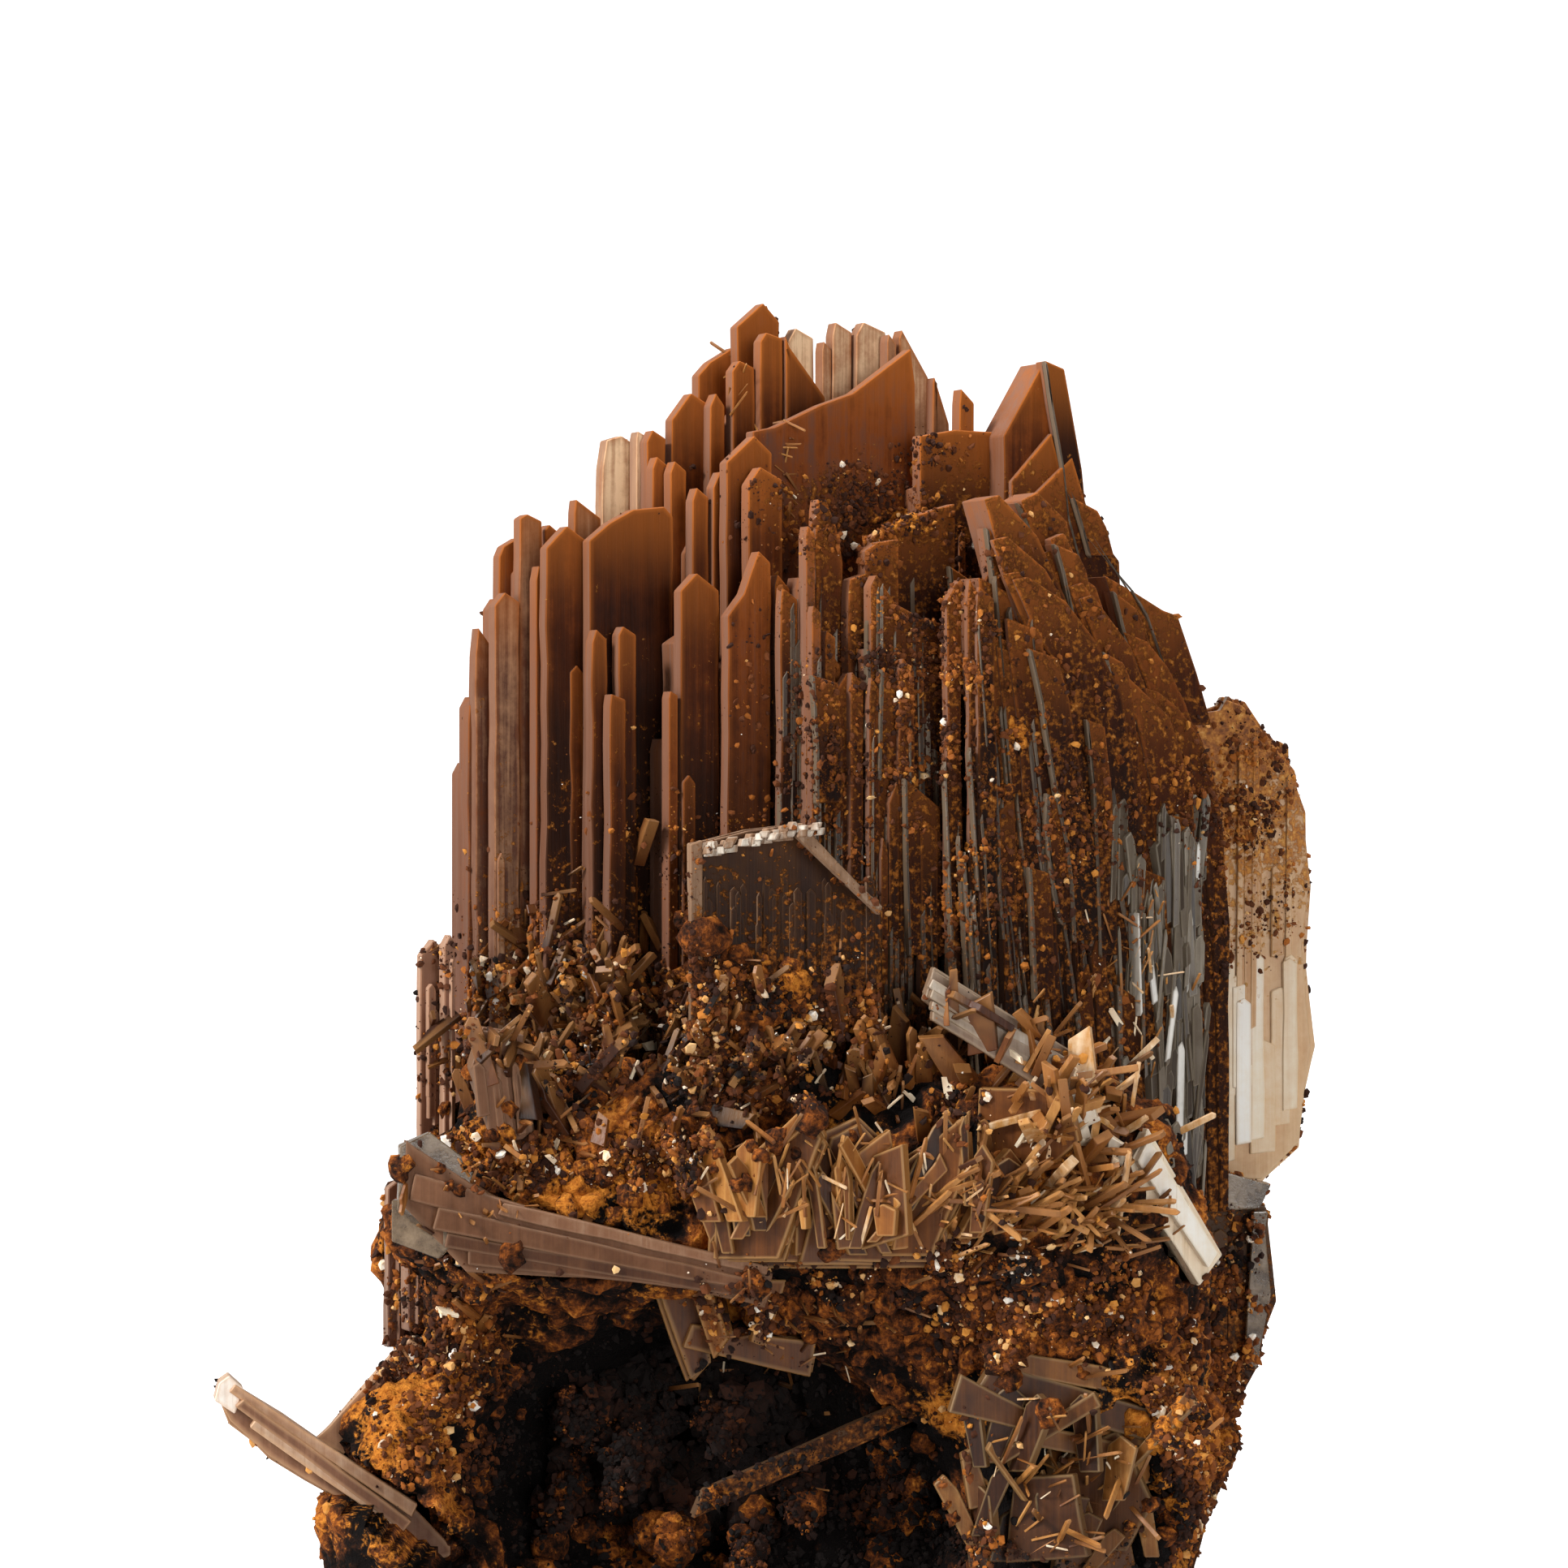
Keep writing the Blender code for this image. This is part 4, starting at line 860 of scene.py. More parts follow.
# The striated block: a thick dark plate that stands in front of the sheaf, its face ribbed by fine
# upright growth, its top edge crusted with small white barite.
BLOCK_TOP_CRYSTALS = 60
BLOCK = [(-4.8, 40.4), (-4.8, 53.4), (-1.0, 54.4), (2.5, 54.9), (6.6, 50.5), (8.0, 49.2), (8.0, 41.6)]
block_chance = random.Random(31)
block_bm = crystal_bmesh()
layered(block_bm, block_chance, BLOCK, -19.6, 2.2, 16, 3, 0.28, 0.2)
strips(block_bm, block_chance, -4.6, 7.9, 40.2, 51.6, -19.6, 16, 40, 0.22, (0.2, 0.7))
plate(block_bm, [(-4.9, 40.4), (-4.9, 53.5), (-4.1, 53.8), (-4.1, 40.4)], -19.9, 0.7, 16,
      tone=0.72, rim=0.15)
plate(block_bm, [(2.3, 54.0), (2.6, 55.0), (6.7, 50.6), (8.1, 49.3), (7.9, 48.7)], -19.9, 0.8, 16,
      tone=0.78, rim=0.2)
for _ in range(BLOCK_TOP_CRYSTALS):
    start = block_chance.uniform(-4.7, 3.4)
    height = 53.3 + max(0.0, min(1.5, (start + 4.7) * 0.22)) + block_chance.uniform(-0.35, 0.25)
    plate(block_bm, [(start, height - 0.5), (start + 0.1, height),
                     (start + block_chance.uniform(0.3, 0.9), height + 0.05),
                     (start + 0.6, height - 0.45)], -20.0 + block_chance.uniform(-0.2, 0.6),
          block_chance.uniform(0.3, 0.9), block_chance.uniform(-30, 40),
          tone=block_chance.uniform(0.75, 1.0), rim=0.08)
block_barite = barite("striated_dark_barite", ["#140905", "#2a150b", "#42260f", "#5e3f2a", "#9a7a60",
                                               "#eadfce"], "#6e4a2c", "#ad8b70", "#170c06", foot=(42, 58),
                      dust=0.95, sheen=0.06, glow=0.15, streak=0.5)
crystal_piece("striated_block_growth", block_bm, block_barite, ["striated_block"])


# The pale slab at the right: a thick colourless crystal stained with ochre from the top down, its
# lower end clean, clear and white.
SLAB = [(28.2, 31.0), (28.4, 62.2), (31.0, 62.6), (31.4, 63.3), (32.5, 62.9), (34.4, 60.4), (36.0, 58.2),
        (36.6, 55.4), (37.0, 51.0), (36.5, 46.7), (37.1, 39.8), (36.3, 33.3), (33.8, 30.8)]
slab_chance = random.Random(37)
slab_bm = crystal_bmesh()
layered(slab_bm, slab_chance, SLAB, 4.6, 4.6, 8, 5, 0.5, 0.35)
strips(slab_bm, slab_chance, 28.6, 36.0, 36.0, 62.0, 4.6, 8, 16, 0.45, (0.3, 1.0), 0.01)
strips(slab_bm, slab_chance, 29.0, 35.6, 34.0, 61.0, 9.4, 8, 18, 0.45, (0.6, 2.0))
strips(slab_bm, slab_chance, 28.6, 36.2, 31.6, 47.0, 4.6, 8, 14, 0.82, (0.5, 2.2))
slab_barite = barite("ochre_stained_barite", ["#5a2f10", "#90571f", "#bb8446", "#d8b284", "#ead8bc",
                                              "#f8f3ea"], "#dcbc92", "#d9c6ac", "#8f5820", clear=0.1,
                     gloss=0.3, foot=(66, 38), dust=1.3, glow=0.1, streak=0.34,
                     powder_codes=["#6a340c", "#98561a", "#bb7628", "#d09444", "#e2b874"])
crystal_piece("pale_slab_growth", slab_bm, slab_barite, ["pale_slab"])


# The dark slab under it: barite hidden by a crumbly limonite crust.
DARK_SLAB = [(27.6, 4.0), (27.6, 26.8), (30.4, 29.2), (34.1, 28.9), (33.8, 27.6), (34.3, 23.0), (33.3, 18.1),
             (31.8, 15.0), (32.0, 13.0), (29.9, 8.5), (28.6, 4.0)]
dark_chance = random.Random(41)
dark_bm = crystal_bmesh()
layered(dark_bm, dark_chance, DARK_SLAB, 1.0, 6.0, 8, 6, 0.3, 0.5)
strips(dark_bm, dark_chance, 28.0, 32.8, 17.0, 28.4, 1.0, 8, 22, 0.35, (0.4, 1.2))
strips(dark_bm, dark_chance, 28.4, 32.4, 16.0, 28.0, 7.2, 8, 16, 0.35, (0.5, 1.8))
crusted_barite = barite("limonite_crusted_barite", ["#150a05", "#2c180b", "#482b15", "#65452a", "#927658",
                                                    "#d2c4b0"], "#7d5a36", "#6f5236", "#20110a", gloss=0.6,
                        foot=(10, 40), dust=1.2, glow=0.3, sheen=0.2)
crystal_piece("dark_slab_growth", dark_bm, crusted_barite, ["dark_slab"])


# Narrow satin blades at the left foot of the sheaf, pinkish brown, their narrow sides painted pale as lit.
TWINS = [([(-23.2, 31.5), (-23.2, 46.0), (-22.3, 47.0), (-21.9, 46.6), (-21.9, 31.5)], -11.5, 1.4),
         ([(-21.6, 31.5), (-21.6, 46.6), (-21.2, 47.4), (-20.9, 46.8), (-20.9, 31.5)], -12.2, 1.8)]
LOW_LEFT = [([(-25.4, 19.5), (-25.4, 30.2), (-24.6, 30.8), (-23.6, 29.8), (-23.6, 19.5)], -10.0, 1.4),
            ([(-24.0, 20.5), (-24.0, 28.6), (-23.2, 29.4), (-22.0, 28.4), (-22.0, 20.5)], -11.6, 2.6)]
pink_chance = random.Random(43)
pink_barite = barite("pinkish_satin_barite", ["#2a130a", "#44220f", "#5e3520", "#7c5341", "#a88a76",
                                              "#dcc6b4"], "#9a6e50", "#b08d76", "#3a2011", foot=(22, 38),
                     dust=0.6, sheen=0.2, glow=0.4)
for name, rows, node in (("twin_blade_growth", TWINS, "twin_blades"),
                         ("low_left_growth", LOW_LEFT, "left_blades")):
    pink_bm = crystal_bmesh()
    for outline, depth, thick in rows:
        layered(pink_bm, pink_chance, outline, depth, thick, 28, 2, 0.5, 0.12, 0.2)
        left, right = outline[0][0], outline[-1][0]
        strips(pink_bm, pink_chance, left + 0.5, right, outline[0][1], outline[1][1], depth, 28, 3, 0.45,
               (0.25, 0.5))
    crystal_piece(name, pink_bm, pink_barite, [node])


# The shelf crystal: a long taupe crystal that lies under the ledge, glassy and grey at its left end.
SHELF = [(-24.4, 29.0), (-24.2, 33.4), (-16.5, 28.4), (0.6, 24.3), (0.0, 22.2), (-7.6, 23.9), (-20.1, 24.5)]
SHELF_RODS = [([(-24.0, 29.4), (-23.6, 31.2), (-0.4, 24.4), (-0.8, 23.6)], -25.0, 1.0, 0.62),
              ([(-22.4, 27.4), (-22.0, 28.9), (0.4, 23.8), (0.2, 23.0)], -25.3, 0.9, 0.5),
              ([(-21.6, 26.2), (-21.4, 27.2), (-1.4, 23.5), (-1.6, 22.8)], -25.1, 0.9, 0.34),
              ([(-20.0, 25.0), (-20.0, 26.1), (-3.0, 23.9), (-3.2, 23.2)], -24.9, 0.8, 0.4),
              ([(-18.0, 28.4), (-17.6, 29.2), (0.4, 24.9), (0.2, 24.3)], -24.7, 0.8, 0.74)]
shelf_chance = random.Random(47)
shelf_bm = crystal_bmesh()
layered(shelf_bm, shelf_chance, SHELF, -24.4, 5.0, 6, 4, 0.42, 0.25)
for outline, depth, thick, tone in SHELF_RODS:
    plate(shelf_bm, outline, depth + 0.4, thick, 6, tone=tone * 0.85, rim=0.14)
shelf_barite = barite("taupe_glassy_barite", ["#1e0f07", "#3c2011", "#5a3822", "#785138", "#a08066",
                                              "#ddd0c0"], "#8a6a52", "#6e4f36", "#4e2f1f", clear=0.05,
                      gloss=0.42, foot=(-20, -10), dust=0.8, glow=0.0, sheen=0.08)
crystal_piece("shelf_crystal_growth", shelf_bm, shelf_barite, ["shelf_crystal"])

# Clear grey barite: colourless glass-like crystal with a faint warm tint through its thickness.
clear_barite, tree, shader = new_material("clear_grey_barite")
place_in = add(tree, "TexCoord").outputs["Object"]
veils = add(tree, "TexNoise", {0: place_in, "Scale": 1 / (1.6 * MM), "Detail": 5.0, "Roughness": 0.7})
veil_tone = colour_ramp(tree, veils, [(0.3, "#46301e"), (0.7, "#b49a7c")])
tree.links.new(veil_tone.outputs[0], shader.inputs["Base Color"])
shader.inputs["Transmission Weight"].default_value = 0.5
shader.inputs["IOR"].default_value = 1.64
shader.inputs["Specular IOR Level"].default_value = 0.15
shader.inputs["Roughness"].default_value = 0.2
flaws = add(tree, "Bump", {"Strength": 0.3, "Distance": 0.2 * MM, "Height": veils})
tree.links.new(flaws.outputs[0], shader.inputs["Normal"])
tint = add(tree, "VolumeAbsorption", {"Color": srgb("#e9ded2"), "Density": 25.0})
tree.links.new(tint.outputs[0], tree.nodes["Material Output"].inputs["Volume"])

# Outline, depth, thickness and turn of the clear ends and edges
CLEAR_ENDS = [
    ([(-24.8, 28.6), (-24.6, 33.0), (-22.6, 34.0), (-19.4, 31.6), (-20.4, 27.2)], -24.4, 1.6, 10),
    ([(-25.2, 26.6), (-25.2, 29.4), (-22.0, 29.2), (-20.6, 27.0), (-22.0, 25.4)], -23.8, 2.0, -6),
    ([(32.6, 18.4), (33.2, 28.6), (34.2, 28.6), (34.0, 27.4), (34.4, 23.0), (33.4, 18.0)], 0.4, 2.6, 0),
    ([(27.4, 28.6), (27.0, 30.4), (31.6, 31.2), (34.4, 30.4), (33.6, 28.8)], 0.2, 3.0, 4),
    ([(28.0, 44.0), (28.2, 55.6), (29.3, 57.4), (30.4, 53.0), (30.2, 46.0)], 1.6, 2.2, 18),
    ([(27.6, 30.4), (27.6, 47.0), (29.0, 48.6), (30.0, 42.0), (29.4, 31.0)], 0.2, 2.4, 24),
]
clear_chance = random.Random(53)
clear_bm = crystal_bmesh()
for outline, depth, thick, turn in CLEAR_ENDS:
    layered(clear_bm, clear_chance, outline, depth, thick, turn, 2, 0.8, 0.2, 0.2)
crystal_piece("clear_ends", clear_bm, clear_barite)


# A glassy brown slab that lies across the ledge.
GLASSY = [(11.0, 43.2), (11.5, 45.0), (22.4, 38.6), (21.4, 35.2)]
glassy_chance = random.Random(59)
glassy_bm = crystal_bmesh()
layered(glassy_bm, glassy_chance, GLASSY, -20.4, 3.0, 12, 4, 0.5, 0.3)
for drop in (0.2, 0.9, 1.7, 2.4):
    plate(glassy_bm, [(11.2 + drop * 0.1, 44.0 - drop), (11.5, 44.6 - drop), (22.2, 38.2 - drop * 0.9),
                      (21.8, 37.3 - drop * 0.9)], -21.0, 0.8, 12, tone=glassy_chance.uniform(0.4, 0.9),
          rim=0.15)
glassy_barite = barite("glassy_brown_barite", ["#2a160b", "#4a2c18", "#684a36", "#86705c", "#ad9e8c",
                                               "#ece6de"], "#b09a80", "#7a5c44", "#5f3c22", clear=0.12,
                       gloss=0.36, foot=(-20, -10), dust=1.2, glow=0.0, sheen=0.12)
crystal_piece("glassy_slab_growth", glassy_bm, glassy_barite, ["glassy_slab"])


# Cream crystals: one bright bar across the right end of the ledge, white sprays beside it, and a
# short pale stump at the left.
CREAM = [(24.6, 31.4), (26.0, 34.0), (31.0, 25.6), (29.6, 23.6)]
SPRAY = [([(21.4, 27.6), (21.0, 33.6), (22.0, 34.6), (23.4, 29.4)], -19.6, 1.2, 20),
         ([(20.0, 33.6), (19.6, 37.6), (21.8, 38.2), (22.6, 35.0)], -19.8, 1.6, -14),
         ([(22.6, 27.8), (23.4, 33.8), (24.4, 33.2), (24.2, 27.4)], -19.2, 1.0, -20)]
STUMP = [(-19.8, 38.4), (-19.0, 40.9), (-16.2, 40.6), (-16.4, 38.6), (-15.4, 33.0), (-17.6, 32.4)]
cream_chance = random.Random(61)
cream_barite = barite("cream_barite", ["#6a4424", "#96693e", "#b98e62", "#d6b48a", "#ebd6b8", "#fbf5ea"],
                      "#f3e4cc", "#d9bd98", "#b98a5e", clear=0.15, gloss=0.26, foot=(-20, -10), dust=0.8,
                      glow=0.5)
cream_bm = crystal_bmesh()
layered(cream_bm, cream_chance, CREAM, -18.8, 3.2, 20, 3, 0.8, 0.35)
plate(cream_bm, [(25.4, 32.0), (26.2, 33.6), (30.8, 25.8), (30.2, 24.8)], -19.3, 0.8, 20, tone=0.95, rim=0.2)
crystal_piece("cream_bar", cream_bm, cream_barite, ["cream_crystal"])
spray_bm = crystal_bmesh()
for outline, depth, thick, turn in SPRAY:
    layered(spray_bm, cream_chance, outline, depth, thick, turn, 2, 0.85, 0.3, 0.2)
crystal_piece("cream_spray", spray_bm, cream_barite)
stump_bm = crystal_bmesh()
layered(stump_bm, cream_chance, STUMP, -21.6, 3.0, 20, 3, 0.56, 0.3)
strips(stump_bm, cream_chance, -19.4, -16.0, 33.4, 40.4, -21.6, 20, 7, 0.56, (0.4, 0.9), -0.1)
crystal_piece("pale_stump_growth", stump_bm, shelf_barite, ["pale_stump"])


# Tan blades on the ledge: a loose fan of thin translucent crystals with a painted sparkle on their
# edges, joined at their feet, and two more that hang and lie in the mouth of the hollow.
LEDGE = [
    ([(-3.4, 25.4), (-3.2, 30.6), (2.6, 35.4), (3.9, 33.6), (1.0, 25.4)], -23.0, 2.4, -18),
    ([(2.4, 25.0), (4.6, 33.6), (6.6, 34.6), (9.0, 32.0), (8.4, 25.0)], -23.4, 2.2, 14),
    ([(8.0, 25.6), (9.4, 31.8), (13.8, 35.2), (13.2, 30.0), (11.4, 25.6)], -23.0, 2.2, -12),
    ([(-3.0, 25.2), (-2.6, 27.4), (12.4, 27.8), (12.8, 25.2)], -22.8, 4.6, 0),
]
LEDGE_THIN = [
    ([(-2.6, 29.4), (-2.4, 30.8), (2.8, 35.8), (3.4, 34.9)], -24.2, 0.8, -20, 0.86),
    ([(0.6, 26.0), (-0.4, 31.4), (0.8, 33.8), (2.0, 32.0), (1.8, 26.4)], -24.6, 0.9, 24, 0.78),
    ([(2.2, 25.6), (2.4, 33.0), (3.0, 36.2), (4.2, 34.4), (4.0, 26.0)], -24.0, 0.8, 30, 0.5),
    ([(4.4, 29.6), (4.6, 31.2), (8.6, 34.2), (8.8, 33.0)], -24.6, 0.9, 10, 0.9),
    ([(5.0, 26.0), (4.6, 30.0), (6.6, 26.2)], -25.0, 0.7, 6, 0.6),
    ([(6.6, 26.0), (7.4, 32.4), (9.4, 33.2), (9.8, 27.0)], -24.0, 0.8, -30, 0.55),
    ([(8.8, 26.0), (9.4, 31.0), (12.0, 29.6), (12.2, 26.4)], -24.3, 1.0, 20, 0.92),
    ([(10.4, 30.0), (12.6, 35.6), (13.6, 35.4), (12.4, 30.6)], -23.8, 0.7, 16, 0.84),
    ([(12.6, 26.4), (13.0, 33.6), (13.8, 34.0), (14.2, 27.0)], -22.6, 0.9, -24, 0.6),
    ([(-3.6, 26.4), (-5.4, 31.2), (-4.6, 32.8), (-2.2, 28.6)], -23.4, 1.0, -26, 0.5),
    ([(14.2, 28.6), (14.6, 37.0), (20.6, 36.8), (21.4, 33.4), (17.4, 30.0)], -20.4, 1.2, -16, 0.62),
    ([(15.6, 27.0), (14.6, 32.6), (15.2, 32.8), (17.0, 27.4)], -23.6, 0.6, 8, 0.8),
]
tan_chance = random.Random(67)
tan_barite = barite("tan_translucent_barite", ["#1d0d05", "#3c1f0b", "#633611", "#8a521c", "#bb8442",
                                               "#f0dcb8"], "#cb9c62", "#865526", "#241309", clear=0.1,
                    gloss=0.4, foot=(6, 24), dust=0.9, glow=0.0, sheen=0.12, streak=0.5)


def small_blades(bm, chance, count, across, feet, heights, depths, tones):
    """Add a crowd of small blades that fan out from a ledge."""
    middle = sum(across) / 2
    for _ in range(count):
        x, foot, height = chance.uniform(*across), chance.uniform(*feet), chance.uniform(*heights)
        broad = chance.uniform(0.35, 1.9)
        lean = (x - middle) * 0.03 + chance.gauss(0, 0.28)
        over = x + lean * height
        plate(bm, [(x, foot), (over - 0.1, foot + height * 0.86), (over + broad * 0.4, foot + height),
                   (over + broad, foot + height * 0.8), (x + broad * 0.8, foot)],
              chance.uniform(*depths), chance.uniform(0.3, 0.8),
              chance.uniform(-50, 50), tone=chance.uniform(*tones), rim=0.07)


ledge_bm = crystal_bmesh()
for outline, depth, thick, turn in LEDGE:
    layered(ledge_bm, tan_chance, outline, depth, thick, turn, 4, 0.34, 0.45, 0.16)
for outline, depth, thick, turn, tone in LEDGE_THIN:
    plate(ledge_bm, outline, depth + 0.6, thick, turn, tone=tone * 0.62, rim=0.12)
small_blades(ledge_bm, tan_chance, 46, (-4.6, 14.6), (25.6, 29.0), (2.0, 7.0), (-24.9, -22.6), (0.1, 0.75))
crystal_piece("ledge_blade_fan", ledge_bm, tan_barite, ["ledge_blades"])
HANGING = [([(-7.9, 25.6), (-4.9, 25.6), (-3.5, 18.4), (-4.9, 17.2)], -15.6, 1.6, 10),
           ([(-5.4, 19.4), (-4.8, 21.0), (3.6, 19.8), (3.2, 17.4)], -15.8, 1.8, 14)]
hanging_bm = crystal_bmesh()
for outline, depth, thick, turn in HANGING:
    layered(hanging_bm, tan_chance, outline, depth, thick, turn, 3, 0.36, 0.3, 0.25)
for outline, depth, turn in (([(-5.6, 25.4), (-4.2, 25.4), (-2.4, 20.0), (-3.4, 18.6)], -16.4, -14),
                             ([(0.4, 24.0), (1.6, 24.0), (0.2, 19.4), (-0.8, 19.8)], -16.4, 20)):
    plate(hanging_bm, outline, depth, 0.8, turn, tone=0.45, rim=0.2)
crystal_piece("hanging_blade_growth", hanging_bm, tan_barite, ["hanging_blades"])

# The left spar: a long brown crystal with parallel ribs that points out to the lower left and ends
# in a rounded clear tip, with a flat pale plate above it.
SPAR = [(-37.1, 16.2), (-36.4, 17.2), (-32.6, 14.9), (-24.0, 8.9), (-20.6, 5.4), (-23.6, 4.6),
        (-26.4, 7.7), (-33.3, 11.9), (-36.1, 14.4)]
SPAR_RIBS = [([(-36.2, 16.4), (-35.8, 16.9), (-23.4, 8.8), (-23.8, 7.9)], -18.0, 0.8, 0.62),
             ([(-35.8, 15.4), (-35.2, 15.9), (-23.8, 7.6), (-24.4, 6.9)], -18.2, 0.8, 0.4),
             ([(-34.8, 14.0), (-34.2, 14.8), (-24.6, 8.0), (-25.2, 7.2)], -18.0, 0.8, 0.7)]
SPAR_PLATE = [(-30.4, 13.2), (-29.5, 14.0), (-24.0, 20.0), (-22.6, 19.0), (-24.6, 13.6), (-27.0, 11.4)]
spar_bm = crystal_bmesh()
layered(spar_bm, tan_chance, SPAR, -17.4, 3.0, 10, 3, 0.42, 0.25, 0.3)
for outline, depth, thick, tone in SPAR_RIBS:
    plate(spar_bm, outline, depth, thick, 10, tone=tone, rim=0.2)
layered(spar_bm, tan_chance, SPAR_PLATE, -14.6, 1.6, 4, 2, 0.55, 0.2, 0.25)
plate(spar_bm, [(-37.2, 15.8), (-36.9, 17.0), (-36.2, 17.5), (-35.2, 16.6), (-35.8, 14.9)], -17.9, 2.0, 10,
      tone=1.0, rim=0.2)
spar_barite = barite("ribbed_spar_barite", ["#2a140a", "#50301b", "#7a5036", "#a57a5a", "#cfb094",
                                            "#f6ece0"], "#dcae80", "#b08a6a", "#6a3c20", clear=0.1,
                     gloss=0.36, foot=(-20, -10), dust=1.0, glow=0.0, sheen=0.15)
crystal_piece("left_spar_growth", spar_bm, spar_barite, ["left_spar"])


# In the hollows: a crusted spar across the main one, and clean grey plates in fans in the second.
hollow_chance = random.Random(71)
across_bm = crystal_bmesh()
layered(across_bm, hollow_chance, [(-4.6, 8.0), (-4.0, 9.8), (10.6, 16.2), (10.4, 14.6)], -18.4, 1.8, 22, 3,
        0.6, 0.2)
crystal_piece("hollow_spar_growth", across_bm, crusted_barite, ["hollow_spar"])
LOW_PLATES = [
    ([(14.4, 16.4), (15.6, 18.4), (26.4, 15.2), (25.6, 13.2)], -21.0, 2.6, 6),
    ([(19.0, 6.0), (20.0, 12.0), (24.0, 13.8), (26.4, 8.8), (24.6, 5.6)], -18.6, 2.0, -14),
    ([(22.6, 7.4), (22.4, 14.8), (25.4, 14.6), (26.6, 7.2)], -17.9, 1.8, 20),
]
LOW_THIN = [
    ([(12.6, 15.0), (13.4, 17.6), (18.8, 14.8), (18.4, 13.6)], -21.8, 0.8, 10, 0.5),
    ([(15.8, 11.2), (16.6, 12.6), (22.4, 16.4), (22.9, 15.4)], -21.6, 0.8, -10, 0.62),
    ([(14.0, 8.4), (13.4, 12.2), (14.2, 12.6), (15.6, 8.8)], -21.0, 0.6, 12, 0.7),
    ([(16.4, 4.8), (17.0, 10.6), (21.0, 10.8), (22.0, 5.2)], -20.6, 0.9, -22, 0.42),
    ([(19.6, 3.6), (20.6, 9.4), (24.6, 9.0), (25.4, 3.8)], -20.0, 0.9, 16, 0.55),
    ([(24.0, 9.6), (24.4, 16.8), (26.0, 18.4), (26.8, 10.4)], -19.6, 1.0, 28, 0.8),
    ([(15.0, 18.0), (15.6, 19.4), (25.0, 17.8), (24.6, 16.2)], -20.8, 0.9, 4, 0.76),
    ([(17.0, 13.0), (17.6, 14.2), (25.8, 12.6), (25.2, 11.4)], -21.2, 0.8, 12, 0.68),
]
low_bm = crystal_bmesh()
for outline, depth, thick, turn in LOW_PLATES:
    layered(low_bm, hollow_chance, outline, depth, thick, turn, 3, 0.34, 0.3, 0.2)
for outline, depth, thick, turn, tone in LOW_THIN:
    plate(low_bm, outline, depth, thick, turn, tone=tone * 0.72, rim=0.14)
small_blades(low_bm, hollow_chance, 30, (13.0, 26.0), (3.6, 12.0), (2.0, 5.6), (-21.8, -18.6), (0.1, 0.72))
low_barite = barite("grey_fan_barite", ["#140a05", "#33190a", "#553013", "#7c4d21", "#aa7c42", "#ecd6ae"],
                    "#a98a5e", "#6b4a2a", "#1c0f08", clear=0.1, gloss=0.4, foot=(3, 14), dust=0.9, glow=0.0,
                    sheen=0.12, streak=0.5)
crystal_piece("low_plate_fans", low_bm, low_barite, ["hollow_plates"])


# The crust in the main hollow: dark limonite that grew as branching spikes and droplets on the
# back wall, rusty and lighter towards the spikes' tips, partly a painted highlight where it stands out.
CRUST_BED = ((-5, -3.4, 13.5), (10, 3.0, 7.0))
BED_GRAINS = 1500
SPIKE_GRAINS = 130
CRUST_SPIKES = [
    ((-8, -5, 16), (-9.5, -12, 12), 1.9), ((-11, -5, 17), (-13.0, -11, 15.5), 1.7),
    ((-2, -5, 17), (-2.4, -13, 14), 1.8), ((-5, -5, 11), (-6.5, -12, 7.6), 1.9),
    ((-12, -5, 12), (-14.0, -11, 9.4), 1.7), ((2, -5, 12), (3.0, -13, 9), 1.7),
    ((-7, -5, 13), (-10, -12, 11.4), 1.5), ((0, -5, 10), (-1.4, -13, 6.0), 1.6),
]


def pattern(name, kind, **sizes):
    """A small mesh that is copied many times."""
    bm = bmesh.new()
    kind(bm, **sizes)
    return mesh_of(in_order(bm), name)


def copied(bm, small, place, turn, sizes, tone):
    """Add one copy of a small mesh, with its place in millimetres before the shift."""
    matrix = Matrix.LocRotScale((place + SHIFT) * MM, turn, Vector(sizes) * MM)
    before = len(bm.verts)
    small.transform(matrix)
    bm.from_mesh(small)
    small.transform(matrix.inverted())
    bm.verts.ensure_lookup_table()
    layer = bm.verts.layers.float["tone"]
    for vert in bm.verts[before:]:
        vert[layer] = tone


def any_turn(chance):
    """A random rotation."""
    axis = Vector((chance.gauss(0, 1), chance.gauss(0, 1), chance.gauss(0, 1))).normalized()
    return Matrix.Rotation(chance.uniform(0, math.tau), 3, axis).to_quaternion()


def rough_chunk(bm, seed, cells):
    """An irregular grain, one unit in radius."""
    if cells:
        bmesh.ops.create_icosphere(bm, subdivisions=cells, radius=1.0)
    else:
        bmesh.ops.create_uvsphere(bm, u_segments=4, v_segments=2, radius=1.0)
    chance = random.Random(seed)
    for vert in bm.verts:
        vert.co *= chance.uniform(0.6, 1.35)


bits = [pattern("bit", rough_chunk, seed=seed, cells=0) for seed in range(4)]
chunks = [pattern("chunk", rough_chunk, seed=seed, cells=1) for seed in range(5)]
crust_chance = random.Random(73)
crust_bm = bmesh.new()
crust_bm.verts.layers.float.new("tone")
bed_middle, bed_half = Vector(CRUST_BED[0]), CRUST_BED[1]
for _ in range(BED_GRAINS):
    way = Vector((crust_chance.gauss(0, 1), -abs(crust_chance.gauss(0, 1)),
                  crust_chance.gauss(0, 1))).normalized()
    spot = bed_middle + Vector([w * h for w, h in zip(way, bed_half)])
    size = crust_chance.uniform(0.2, 0.8)
    copied(crust_bm, crust_chance.choice(chunks), spot, any_turn(crust_chance), (size, size * 0.8, size),
           crust_chance.uniform(-0.1, 0.06))
crust_branches = []
